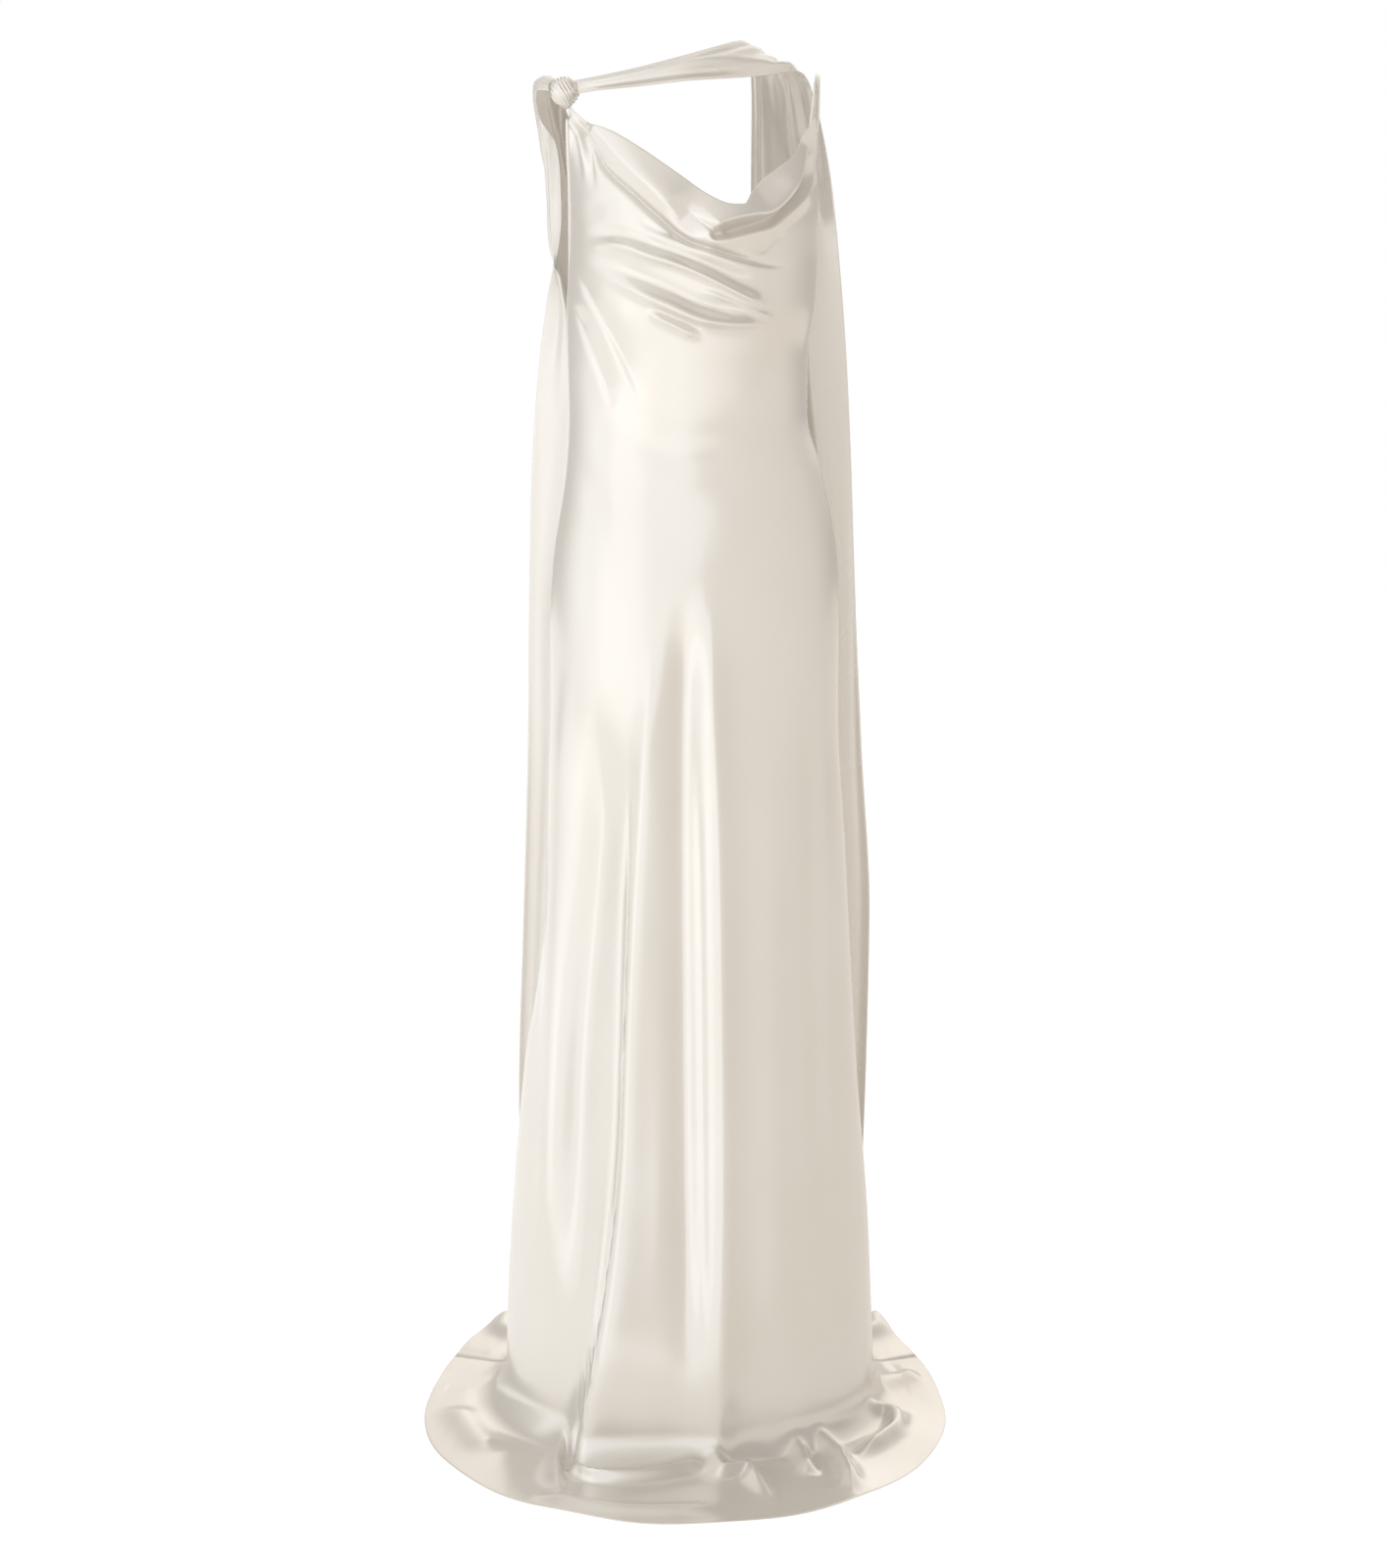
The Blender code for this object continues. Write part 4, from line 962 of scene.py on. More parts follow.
BACK_POOL_FOLDS = (
    Fold(13, 16, 20, ((-110, 240), (-132, 290), (-148, 330), (-140, 372))),
    Fold(14, 18, 22, ((-6, 268), (-18, 320), (-8, 364), (18, 402))),
    Fold(13, 16, 20, ((110, 236), (138, 280), (156, 316), (152, 358))),
    Fold(10, 12, 14, ((-76, 300), (-50, 340), (-60, 392))),
    Fold(10, 12, 14, ((66, 290), (84, 330), (74, 386))),
    Fold(11, 14, 16, ((-196, 160), (-224, 200), (-220, 256))),
    Fold(11, 14, 16, ((196, 170), (226, 200), (224, 250))),
)


# ------------------------------------------------------------------ the pieces
@dataclass
class Bodice:
    """The front and back panels of the gown."""

    form: GownForm
    satin_front: Satin
    satin_back: Satin
    # (first, last, count) rows of each stretch, closer together at the neckline and the hem
    front_rows: tuple[tuple[float, float, int], ...] = (
        (-1, 0, 104), (0, 0.08, 28), (0.08, 0.17, 10), (0.17, 1, 34), (1, 2, 13), (2, 3, 47))
    front_columns: int = 200
    back_rows: tuple[tuple[float, float, int], ...] = ((-1, 0, 44), (0, 1, 70), (1, 2, 12), (2, 3, 56))
    back_columns: int = 150
    crowd_centre: float = -0.10
    crowd_spread: float = 0.45
    crowd_extra: float = 0.9

    def front_panel(self) -> Panel:
        """The front's shape."""
        return Panel(self.form.front, FRONT_WALL_FOLDS, FRONT_POOL_FOLDS)

    def back_panel(self) -> Panel:
        """The back's shape."""
        return Panel(self.form.back, BACK_WALL_FOLDS, BACK_POOL_FOLDS)

    def build_front(self) -> None:
        """The front, from the cowl neckline to the hem."""
        places = crowded(self.front_columns, self.crowd_centre, self.crowd_spread, self.crowd_extra)
        piece = cloth_wall("gown_front", self.front_panel().grid(joined(self.front_rows), places))
        finish_piece(piece, "front_panel", self.satin_front.material())

    def build_back(self) -> None:
        """The back, from its low scoop to the train."""
        places = np.linspace(-1, 1, self.back_columns)
        piece = cloth_wall("gown_back", self.back_panel().grid(joined(self.back_rows), places))
        finish_piece(piece, "back_panel", self.satin_back.material())


@dataclass
class ShoulderKnot:
    """The scarf's small wrapped knot: a rounded form that narrows downwards, with leaning pleats."""

    satin: Satin
    centre: Point = (-0.1295, -0.0300, 1.4335)
    radii: Point = (0.0160, 0.0185, 0.0165)
    narrowing: float = 0.28
    narrow_power: float = 1.5
    pleats: float = 4.5
    pleat_depth: float = 0.0011
    pleat_bend: float = 0.5
    pleat_sway: float = 0.25
    lean: float = math.radians(32)
    wrap_rise: float = 0.0012
    wrap_place: float = -0.30
    wrap_width: float = 0.34
    foot_rise: float = 0.0007
    rows: int = 90
    around: int = 128

    def _scale(self, ball: Grid) -> Grid:
        """The radii over a ball's points: the level ones shrink by narrowing * depth ** power."""
        narrow = 1.0 - self.narrowing * np.maximum(0.0, -ball[..., 2]) ** self.narrow_power
        return np.array(self.radii) * np.stack((narrow, narrow, np.ones_like(narrow)), -1)

    def foot(self, direction: Point, clearance: float) -> Point:
        """Where a piece starts at the knot.

        Args:
            direction: its direction from the knot's centre.
            clearance: its distance from the knot.

        Returns:
            A point off the knot's smooth form.
        """
        way = unit(np.array(direction))
        reach = self._scale(way) + self.foot_rise + clearance
        return tuple(np.array(self.centre) + reach * way)

    def build(self) -> None:
        """The knot's skin.

        A ball of (sin(polar) * cos(turn), sin(polar) * sin(turn), cos(polar)) is scaled by the
        radii.  Pleats of depth * (|sin(pleats * pi * across + shift)| - 1) sink between rounded
        ridges, with shift = bend * along ** 2 + sway * sin(3 * y) and with across and along turned by
        the lean.  One broad wrap lies over them, a band of exp(-((across - place) / width) ** 4).
        """
        polar, turn = np.meshgrid(np.linspace(0, math.pi, self.rows), full_turn(self.around)[0],
                                  indexing="ij")
        ball = np.stack((np.sin(polar) * np.cos(turn), np.sin(polar) * np.sin(turn), np.cos(polar)), -1)
        across = ball[..., 0] * math.cos(self.lean) + ball[..., 2] * math.sin(self.lean)
        along = ball[..., 2] * math.cos(self.lean) - ball[..., 0] * math.sin(self.lean)
        shift = self.pleat_bend * along ** 2 + self.pleat_sway * np.sin(3 * ball[..., 1])
        pleat = self.pleat_depth * (np.abs(np.sin(self.pleats * math.pi * across + shift)) - 1)
        wrap = self.wrap_rise * np.exp(-((across - self.wrap_place) / self.wrap_width) ** 4)
        skin = np.array(self.centre) + ball * self._scale(ball) + ball * (pleat + wrap)[..., None]
        piece = closed_tube("wrapped_knot", skin)
        finish_piece(piece, "shoulder_knot", self.satin.material())


@dataclass
class Rouleau:
    """A thin strap: a folded, stitched tube of satin along a smooth route."""

    name: str
    node: str
    satin: Satin
    route: tuple[Point, ...]
    half_width: float = 0.0023
    half_depth: float = 0.0018
    groove: float = 0.00035
    groove_turn: float = 1.5 * math.pi
    groove_width: float = 0.35
    twist: float = 0.6
    end_steps: tuple[float, ...] = (0.0, 0.1, 0.3, 0.6, 1.0)
    rings: int = 220
    around: int = 24

    def build(self) -> None:
        """The strap's skin.

        Its section is an ellipse with a shallow groove where it is stitched, carried along the
        route and slowly twisted.  The side direction is the X axis less its part along the route.
        Over the last half width at each end it rounds off as sqrt(1 - (1 - s) ** 2).
        """
        route = np.array(self.route, dtype=float)
        reach = np.concatenate(([0], np.linalg.norm(np.diff(route, axis=0), axis=1).cumsum()))
        end = np.array(self.end_steps) * self.half_width
        at = np.concatenate((end, np.linspace(end[-1], reach[-1] - end[-1], self.rings)[1:-1],
                             reach[-1] - end[::-1]))
        centre = curve_through(reach, route, at)
        tangent = unit(np.gradient(centre, axis=0))
        side = unit(np.array([1.0, 0.0, 0.0]) - tangent[:, :1] * tangent)
        up = np.cross(tangent, side)
        round_off = np.minimum(at, reach[-1] - at) / self.half_width
        size = np.sqrt(np.clip(1 - (1 - np.clip(round_off, 0, 1)) ** 2, 0, 1))[:, None]
        turn = full_turn(self.around)
        dip = np.exp(-((turn - self.groove_turn) / self.groove_width) ** 2)
        dip = 1 - self.groove / self.half_depth * dip
        swing = self.twist * np.sin(FULL_TURN * at / reach[-1])[:, None]
        wide = self.half_width * np.cos(turn) * dip * size
        deep = self.half_depth * np.sin(turn) * dip * size
        first = wide * np.cos(swing) - deep * np.sin(swing)
        second = wide * np.sin(swing) + deep * np.cos(swing)
        piece = closed_tube(self.name, carried(centre, side, up, first, second))
        finish_piece(piece, self.node, self.satin.material())


def inside(surface: Surface, row: float, place: float, depth: float = 0.0022) -> Point:
    """Centre of a strap that lies against the inside of a panel.

    Args:
        surface: the panel's surface.
        row: where the strap is, as a row of the panel.
        place: the same, as a place.
        depth: the strap's half depth.

    Returns:
        The strap's centre.
    """
    at = np.array([row]), np.array([place])
    inward = CLOTH + STRAP_CLEARANCE + depth
    return tuple((surface(*at) - surface_normal(surface, *at) * inward)[0])


@dataclass
class Straps:
    """The thin strap over the left shoulder, and the one from the knot to the back."""

    front: Surface
    back: Surface
    knot: ShoulderKnot
    satin: Satin
    front_end: Pair = (-0.96, 0.955)
    left_end: Pair = (-0.97, -0.49)
    right_end: Pair = (-0.97, 0.49)
    knot_side: Point = (-0.25, 0.85, -0.35)
    over_shoulder: tuple[Point, ...] = (
        (0.1290, -0.0400, 1.4150), (0.1320, -0.0320, 1.4380), (0.1345, -0.0130, 1.4510),
        (0.1357, 0.0060, 1.4535), (0.1367, 0.0220, 1.4440), (0.1370, 0.0350, 1.4200),
        (0.1350, 0.0480, 1.3800), (0.1280, 0.0610, 1.3250), (0.1130, 0.0720, 1.2680),
        (0.0905, 0.0675, 1.2250))
    down_the_side: tuple[Point, ...] = (
        (-0.1360, 0.0010, 1.4220), (-0.1360, 0.0200, 1.3990), (-0.1300, 0.0430, 1.3540),
        (-0.1170, 0.0610, 1.2950), (-0.0890, 0.0665, 1.2260))

    def build(self) -> None:
        """Both straps; their ends lie against the inside of the panels."""
        Rouleau("rouleau_strap", "shoulder_strap", self.satin, (
            inside(self.front, *self.front_end), *self.over_shoulder,
            inside(self.back, *self.left_end))).build()
        Rouleau("knot_rouleau", "knot_strap", self.satin, (
            self.knot.foot(self.knot_side, SEAM_GAP), *self.down_the_side,
            inside(self.back, *self.right_end))).build()


@dataclass
class ArmholeBinding:
    """The narrow folded strip sewn along the front's left armhole edge."""

    front: Surface
    satin: Satin
    span: Pair = (-0.94, -0.12)
    half_width: float = 0.0026
    half_depth: float = 0.0019
    puckers: float = 34.0
    pucker_rise: float = 0.00018
    end_power: float = 60
    rings: int = 160
    around: int = 20

    def build(self) -> None:
        """An ellipse carried along the edge, with fine puckers of its stitching.

        It rounds off at its ends as sqrt(1 - (2 * share - 1) ** power), and the puckers are
        rise * sin(2 * pi * puckers * share).
        """
        row = np.linspace(*self.span, self.rings)
        place = np.full(self.rings, -1.0)
        edge = self.front(row, place)
        normal = surface_normal(self.front, row, place)
        outward = unit(edge - self.front(row, place + PROBE))
        centre = edge + outward * (SEAM_GAP + self.half_width)
        share = np.linspace(0, 1, self.rings)
        size = np.sqrt(np.clip(1 - (2 * share - 1) ** self.end_power, 0, 1))[:, None]
        turn = full_turn(self.around)
        pucker = np.sin(FULL_TURN * self.puckers * share)[:, None]
        pucker = 1 + self.pucker_rise / self.half_depth * pucker
        wide = self.half_width * np.cos(turn) * size
        deep = self.half_depth * np.sin(turn) * size * pucker
        piece = closed_tube("armhole_piping", carried(centre, outward, normal, wide, deep))
        finish_piece(piece, "armhole_binding", self.satin.material())


# The scarf's sections, each four points from its outer edge to its inner one, above the floor.
LEFT_SECTIONS = (
    ((-95, -50, 1434), (-94.8, -53, 1439), (-95, -52.5, 1444), (-96, -47, 1448.5)),
    ((-53, -56, 1437.5), (-52.8, -60.2, 1444), (-53.2, -59.5, 1451), (-54, -50.5, 1457)),
    ((0, -55, 1443.5), (-0.6, -59.5, 1452), (-1.8, -57, 1462), (-3, -45, 1470.5)),
    ((45, -40, 1447.5), (42, -44, 1458.5), (38, -40, 1471), (33, -26, 1482)),
    ((82, -20, 1452), (73, -21.5, 1464.5), (62, -17, 1478), (51, -7, 1488)),
    ((113, 1, 1457.5), (95.5, 2, 1468), (77, 4, 1480), (60.5, 6, 1488.5)),
    ((124.5, 19, 1452), (105, 27, 1460), (84, 31, 1470), (64.5, 31, 1479)),
    ((132.5, 41, 1436), (112.8, 52, 1441), (89, 59, 1447), (67, 58, 1454)),
    ((143.5, 64, 1400), (119.5, 74, 1404), (92, 85, 1409), (68, 82, 1415)),
    ((154.5, 82, 1345), (125, 90, 1348), (94, 104, 1354), (68, 100, 1360)),
    ((163.5, 96, 1270), (129, 97, 1270), (96, 114, 1270), (68, 112, 1270)),
    ((172.5, 107, 1170), (125, 101, 1170), (92, 119, 1170), (67, 118, 1170)),
    ((179.5, 114, 1050), (136, 104, 1050), (98, 124, 1050), (64, 122, 1050)),
    ((186, 122, 900), (148, 113, 900), (100, 142, 900), (58, 148, 900)),
    ((195.5, 126, 720), (152, 118, 720), (98, 148, 720), (50, 156, 720)),
    ((207.5, 140, 520), (159, 134, 520), (96, 168, 520), (42, 178, 520)),
    ((206.5, 162, 340), (162, 157, 340), (93, 196, 340), (36, 208, 340)),
    ((203.5, 186, 170), (164, 185, 168), (91, 228, 164), (32, 240, 160)),
)
RIGHT_SECTIONS = (
    ((-158, -32, 1436.5), (-160, -19, 1445), (-154, -6, 1452), (-146, 1, 1453)),
    ((-160.5, -20, 1425), (-163, 0, 1431), (-153, 27, 1437), (-137, 33, 1439)),
    ((-157.5, -10, 1408.5), (-161, 12, 1411), (-150, 50, 1412), (-130, 59, 1415)),
    ((-149, 0, 1395), (-157.5, 24, 1389), (-143, 72, 1383), (-114, 83, 1386)),
    ((-141.5, 11, 1384), (-155, 36, 1362), (-137, 86, 1348), (-94, 98.5, 1350)),
    ((-137.5, 24, 1345), (-153.5, 48, 1324), (-130, 95, 1305), (-78, 108, 1300)),
    ((-138.5, 36, 1290), (-150.5, 60, 1272), (-128, 98, 1252), (-68, 114, 1241)),
    ((-154, 72, 1222), (-127, 69, 1204), (-112, 103, 1188), (-62, 118.5, 1180)),
    ((-166, 90, 1135), (-125, 78, 1128), (-103, 112, 1118), (-56, 124, 1110)),
    ((-174.5, 99, 1020), (-130, 87, 1020), (-103, 118, 1020), (-52, 130, 1020)),
    ((-180, 113, 860), (-143, 99, 860), (-106, 136, 860), (-49, 150, 860)),
    ((-183.5, 118, 700), (-146, 105, 700), (-108, 142, 700), (-45, 155, 700)),
    ((-191.5, 134, 500), (-157, 121, 500), (-111, 160, 500), (-40, 176, 500)),
    ((-199, 160, 330), (-167, 147, 330), (-113, 187, 330), (-36, 206, 330)),
    ((-200.5, 186, 150), (-170, 176, 148), (-114, 220, 144), (-32, 242, 140)),
)
# Rise, half width, course of (row, place) points, and crest.
BAND_FOLDS = (
    LongFold(2.2, 0.16, ((0.3, 0.34), (2, 0.36), (4, 0.3), (6, 0.24))),
    LongFold(-1.6, 0.08, ((0.2, 0.55), (2.4, 0.62), (3.3, 0.76), (4.4, 0.8), (5.6, 0.84))),
    LongFold(2.4, 0.13, ((1.6, 0.58), (3, 0.66), (3.8, 0.56), (4.6, 0.42), (5.8, 0.16))),
    LongFold(-0.8, 0.07, ((0.4, 0.14), (2, 0.12), (4, 0.06))),
    LongFold(-1, 0.075, ((0.4, 0.78), (1.8, 0.84), (3, 0.9))),
    LongFold(-2.4, 0.08, ((5.2, 0.55), (6.2, 0.6), (7.4, 0.62), (9, 0.6))),
    LongFold(4, 0.1, ((5, 0.12), (6.2, 0.2), (7.2, 0.24), (8.6, 0.22), (10.5, 0.18))),
    LongFold(-3.4, 0.07, ((5.4, 0.3), (6.6, 0.36), (8, 0.38), (9.6, 0.36))),
    LongFold(-5, 0.03, ((5.8, 0.88), (7, 0.9), (9, 0.91), (12, 0.93)), FIRM),
    LongFold(5, 0.09, ((9.5, 0.5), (12, 0.46), (15, 0.52), (17.9, 0.48))),
    LongFold(-4.5, 0.07, ((10.5, 0.68), (13, 0.66), (15.5, 0.7), (17.9, 0.66))),
    LongFold(-4.5, 0.07, ((10, 0.3), (13, 0.27), (15.5, 0.31), (17.9, 0.28))),
)
LOOP_FOLDS = (
    LongFold(3.5, 0.12, ((0.2, 0.62), (1.5, 0.6), (3, 0.56), (5, 0.6))),
    LongFold(-2, 0.09, ((0.8, 0.42), (1.6, 0.4), (3, 0.38), (5.2, 0.44))),
    LongFold(-1.6, 0.09, ((0.8, 0.8), (1.6, 0.78), (3.2, 0.74), (5, 0.72))),
    LongFold(3, 0.06, ((4.4, 0.88), (6, 0.84), (7.4, 0.86), (9, 0.88)), FIRM),
    LongFold(-3.4, 0.05, ((4.6, 0.78), (6.2, 0.74), (7.6, 0.77), (9.2, 0.8)), FIRM),
    LongFold(5, 0.09, ((7.5, 0.48), (10, 0.52), (12.5, 0.47), (14.9, 0.5))),
    LongFold(-4.5, 0.07, ((8, 0.67), (10.5, 0.7), (12.6, 0.66), (14.9, 0.69))),
    LongFold(-4.5, 0.07, ((8, 0.29), (10.5, 0.32), (12.6, 0.28), (14.9, 0.31))),
)


@dataclass
class Scarf:
    """The knotted scarf: its band across the neck and its two tails down the back."""

    knot: ShoulderKnot
    satin: Satin
    ridge: float = 6.0
    ridge_gap: float = 0.009
    waves: float = 2.5
    wave_rise: float = 0.006
    wave_heights: Pair = (0.50, 1.30)
    knot_fade: Pair = (0.2, 3.0)
    columns: int = 72
    band_rows: int = 130
    left_rows: int = 300
    right_rows: int = 330
    band_starts: tuple[Point, ...] = (
        (0.8, -0.50, -0.10), (0.8, -0.60, 0.20), (0.8, -0.50, 0.48), (0.7, -0.30, 0.70))
    loop_starts: tuple[Point, ...] = (
        (-0.9, -0.40, 0.10), (-0.9, -0.15, 0.40), (-0.80, 0.15, 0.65), (-0.60, 0.40, 0.80))

    def surface(self, start: Sequence[Point], sections: Sequence, is_left: bool,
                folds: Sequence[LongFold]) -> Surface:
        """The scarf's surface through its sections, with soft waves low down and its long folds.

        Each row reads a smooth curve of its section's four points, and the waves are
        rise * sin(2 * pi * waves * place), growing from the upper height to the lower.

        Args:
            start: the four points at the knot.
            sections: the other sections, in millimetres.
            is_left: whether the sections start at the edge to the wearer's left.
            folds: the folds that run down this stretch.

        Returns:
            A function of row and place.
        """
        table = np.concatenate((np.array(start)[None], np.array(sections) / MILLIMETRES))
        stations = np.arange(len(table))

        def base(row: Grid, place: Grid) -> Grid:
            """Smooth curve through the four points of each row's section.

            Args:
                row: the rows, 1 apart from section to section.
                place: places across, 0 at the edge to the wearer's left.

            Returns:
                One point for each place.
            """
            points = curve_through(stations, table.reshape(len(table), -1), row)
            from_first = place if is_left else 1 - place
            weights = curve_through(np.arange(4.0), np.eye(4), from_first * 3, level_turns=False)
            return (points.reshape(*np.shape(row), 4, 3) * weights[..., None]).sum(axis=-2)

        def folded(row: Grid, place: Grid) -> Grid:
            """The base moved out along its normals by its waves, and by folds that grow off the knot.

            Args:
                row: the base's rows.
                place: the base's places.

            Returns:
                One point for each place.
            """
            point = base(row, place)
            grown = 1 - ease(*self.wave_heights, point[..., 2])
            rise = self.wave_rise * grown * np.sin(FULL_TURN * self.waves * place)
            rise = rise + ease(*self.knot_fade, row) * sum(fold.push(row, place) for fold in folds)
            return point + surface_normal(base, row, place) * rise[..., None]
        return folded

    def _sheet(self, name: str, node: str, surface: Surface, rows: Grid) -> None:
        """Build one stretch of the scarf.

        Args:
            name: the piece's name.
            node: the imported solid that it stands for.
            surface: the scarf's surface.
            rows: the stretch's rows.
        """
        grid = surface(*np.meshgrid(rows, np.linspace(0, 1, self.columns), indexing="ij"))
        piece = cloth_wall(name, grid)
        finish_piece(piece, node, self.satin.material())

    def build(self) -> None:
        """The neck band, the left tail and the looped right tail."""
        start = [self.knot.foot(way, SEAM_GAP) for way in self.band_starts]
        surface = self.surface(start, LEFT_SECTIONS, True, BAND_FOLDS)
        rows = np.linspace(0, self.ridge - self.ridge_gap, self.band_rows)
        self._sheet("neck_sash", "scarf_neck_band", surface, rows)
        rows = np.linspace(self.ridge + self.ridge_gap, len(LEFT_SECTIONS), self.left_rows)
        self._sheet("scarf_left_drop", "scarf_left_tail", surface, rows)
        start = [self.knot.foot(way, SEAM_GAP + CLOTH) for way in self.loop_starts]
        surface = self.surface(start, RIGHT_SECTIONS, False, LOOP_FOLDS)
        rows = np.linspace(0, len(RIGHT_SECTIONS), self.right_rows)
        self._sheet("scarf_right_drop", "scarf_right_tail", surface, rows)


# ------------------------------------------------------------------ the studio
@dataclass(frozen=True)
class SoftBox:
    """A large soft light."""

    name: str
    place: Point
    aim: Point
    size: Pair
    power: float

    def build(self) -> None:
        """Add the area light, turned so that its -Z runs from its place to its aim."""
        data = bpy.data.lights.new(self.name, "AREA")
        data.shape = "RECTANGLE"
        data.size, data.size_y = self.size
        data.energy = self.power
        light = put_in_scene(self.name, data)
        light.location = self.place
        way = np.subtract(self.aim, self.place)
        pitch = math.atan2(math.hypot(way[0], way[1]), -way[2])
        light.rotation_euler = (pitch, 0.0, math.atan2(way[1], way[0]) - math.pi / 2)


@dataclass(frozen=True)
class Floor:
    """A plain pale square under the gown, which also lights it softly from below."""

    half: float = 9.0
    grey: Point = (0.30, 0.30, 0.30)
    roughness: float = 0.9
    seen: float = 0.85
    right_light: Point = (0.62, 0.58, 0.52)
    left_light: Point = (0.84, 0.83, 0.81)
    middle: float = 0.5
    turn: float = 1.2
    front_light: Point = (1.16, 1.16, 1.15)
    front_start: float = 1.0
    front_share: float = 0.9
    front_turn: float = 3.0

    def build(self) -> None:
        """The floor's mesh; it is no part of the gown."""
        mesh = bpy.data.meshes.new("studio_floor")
        corners = [(x * self.half, y * self.half, -SHOULDER_HEIGHT)
                   for x, y in ((-1, -1), (1, -1), (1, 1), (-1, 1))]
        mesh.from_pydata(corners, [], [(0, 1, 2, 3)])
        mesh.materials.append(self.material())
        put_in_scene("studio_floor", mesh)

    def material(self) -> bpy.types.Material:
        """A glow that is even to the camera and lights the gown unevenly.

        As a light it goes from the right light to the left one by middle - x / turn, and then to
        the front one by (-y - front start) * (front share - x / front turn), each part held between
        0 and 1.

        Returns:
            The new material.
        """
        made = bpy.data.materials.new("studio_floor")
        made.use_nodes = True
        graph = Graph(made.node_tree)
        eye = graph.node("ShaderNodeLightPath", output="Is Camera Ray")
        place = graph.node("ShaderNodeTexCoord", output="Object")
        x, y = graph.axis(place, "X"), graph.axis(place, "Y")
        light = graph.blend((self.middle - x / self.turn).held(), self.right_light, self.left_light)
        ahead = (-1.0 * y - self.front_start).held() * (self.front_share - x / self.front_turn).held()
        light = graph.blend(ahead, light, self.front_light)
        glow = graph.blend(eye, light, (self.seen, self.seen, self.seen))
        paint = graph.node("ShaderNodeBsdfPrincipled", {}, {
            "Base Color": (*self.grey, 1.0), "Roughness": self.roughness, "Specular IOR Level": 0.0,
            "Emission Color": glow, "Emission Strength": 1.0})
        graph.node("ShaderNodeOutputMaterial", {}, {"Surface": paint})
        return made


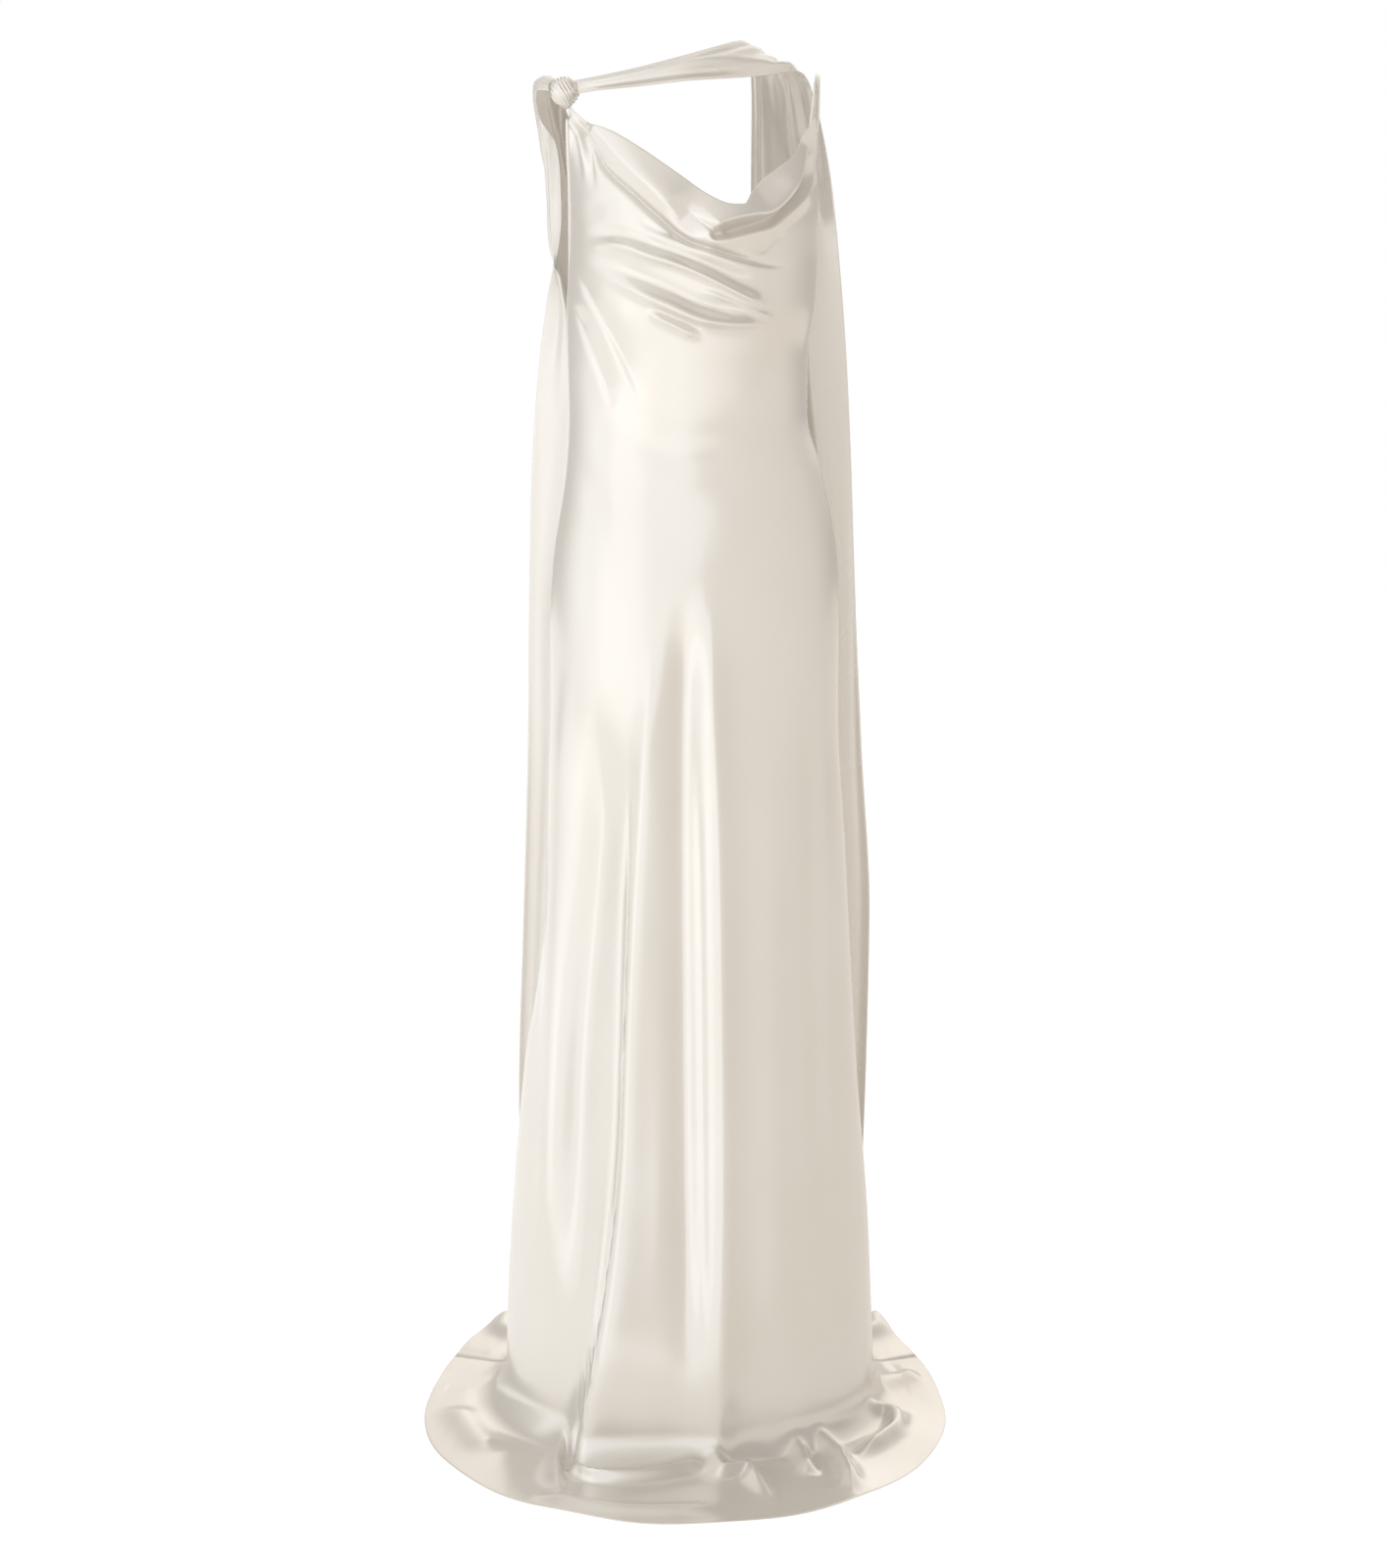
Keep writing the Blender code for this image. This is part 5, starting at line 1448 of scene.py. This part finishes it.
@dataclass(frozen=True)
class Surround:
    """The room's light: plain white to the eye, and as a light brighter on the left."""

    dim: float = 0.86
    bright: float = 1.28
    dim_tint: Point = (1.0, 0.950, 0.890)
    bright_tint: Point = (0.965, 0.985, 1.0)
    edge: float = 0.13
    edge_slant: float = 0.8
    edge_turn: float = 0.14
    slant: float = 1.2
    slant_start: float = 2.0
    top: float = 0.78
    top_turn: float = 0.36
    back: float = 0.50
    back_turn: float = 0.60
    overhead_dim: float = 0.50
    overhead: float = 0.90
    overhead_turn: float = 0.40
    back_dim: float = 0.42
    back_dim_start: float = 1.6
    back_light: float = 1.10
    back_light_start: float = 4.0
    back_light_middle: float = 0.86
    back_light_right: float = 2.0

    def build(self) -> None:
        """The surround's shader, in a direction's right, behind and above, each from -1 to 1.

        Held means held between 0 and 1.  Its strength and tint go from dim to bright by a share,
        the product of three held parts:
          (edge + edge slant * held above - right) / edge turn, to the left of a leaning edge,
          (top - high) / top turn, below the top, and
          (back - behind) / back turn, in front of the back,
        where high is above + slant * right * held (slant start * above).  The strength is then
        weakened overhead by overhead dim * held ((high - overhead) / overhead turn), and behind by
        back dim * held (back dim start * behind).  Last comes a light from behind and above, back
        light * held (back light start * behind * above) * held behind * held (back light middle +
        back light right * right).
        """
        world = bpy.data.worlds.new("studio")
        world.use_nodes = True
        graph = Graph(world.node_tree)
        eye = graph.node("ShaderNodeLightPath", output="Is Camera Ray")
        direction = graph.node("ShaderNodeTexCoord", output="Generated")
        right, behind, above = (graph.axis(direction, name) for name in "XYZ")
        high = above + self.slant * right * (self.slant_start * above).held()
        share = ((self.edge + self.edge_slant * above.held() - right) / self.edge_turn).held()
        share = share * ((self.top - high) / self.top_turn).held()
        share = share * ((self.back - behind) / self.back_turn).held()
        strength = self.dim + (self.bright - self.dim) * share
        strength = strength * (1.0 - self.overhead_dim * (
            (high - self.overhead) / self.overhead_turn).held())
        strength = strength * (1.0 - self.back_dim * (self.back_dim_start * behind).held())
        glow = (self.back_light_start * behind * above).held() * behind.held()
        glow = glow * (self.back_light_middle + self.back_light_right * right).held()
        soft = graph.node("ShaderNodeBackground", {}, {
            "Color": graph.blend(share, self.dim_tint, self.bright_tint),
            "Strength": strength + self.back_light * glow})
        white = graph.node("ShaderNodeBackground", {}, {"Color": (1.0, 1.0, 1.0, 1.0), "Strength": 1.0})
        graph.node("ShaderNodeOutputWorld", {}, {
            "Surface": graph.node("ShaderNodeMixShader", {}, {0: eye, 1: soft, 2: white})})
        bpy.context.scene.world = world


@dataclass(frozen=True)
class Studio:
    """The floor, the surround, a soft light and the camera."""

    floor: Floor = Floor()
    surround: Surround = Surround()
    key: SoftBox = SoftBox("key_left", (-2.6, -2.4, 0.2), (0.0, 0.0, -0.7), (2.2, 3.0), 4.0)
    camera_place: Point = (0.0048, -3.1, -0.25)
    camera_tilt: float = math.radians(80.8)
    lens: float = 65.9

    def camera(self) -> None:
        """The camera in front of the gown, a little below its chest and tilted down."""
        data = bpy.data.cameras.new("camera")
        data.lens = self.lens
        camera = put_in_scene("camera", data)
        camera.location = self.camera_place
        camera.rotation_euler = (self.camera_tilt, 0.0, 0.0)
        bpy.context.scene.camera = camera

    def build(self) -> None:
        """The whole studio, seen with plain colours."""
        self.floor.build()
        self.surround.build()
        self.camera()
        self.key.build()
        bpy.context.scene.view_settings.view_transform = "Standard"


def main() -> None:
    """Build the gown piece by piece, then the studio round it."""
    logging.basicConfig(level=logging.INFO, format="%(message)s")
    bodice = Bodice(GownForm(), Satin("satin_front"), Satin("satin_back"))
    bodice.build_front()
    bodice.build_back()
    front, back = bodice.front_panel().surface, bodice.back_panel().surface
    knot = ShoulderKnot(Satin("satin_knot", crush_depth=0.0003))
    knot.build()
    Straps(front, back, knot, Satin("satin_strap", crush_depth=0.0002)).build()
    ArmholeBinding(front, Satin("satin_binding", crush_depth=0.0002)).build()
    # the scarf's colour and shade are a little darker than the gown's satin: painted shade that makes the
    # tails as dim as they look where they hang beside and behind the gown
    Scarf(knot, Satin("satin_scarf", colour=(0.715, 0.680, 0.635), shade=(0.670, 0.630, 0.575),
                      metallic=0.22, roughness=0.26, see_through=0.5, crush_depth=0.0005)).build()
    Studio().build()


if __name__ == "__main__":
    main()
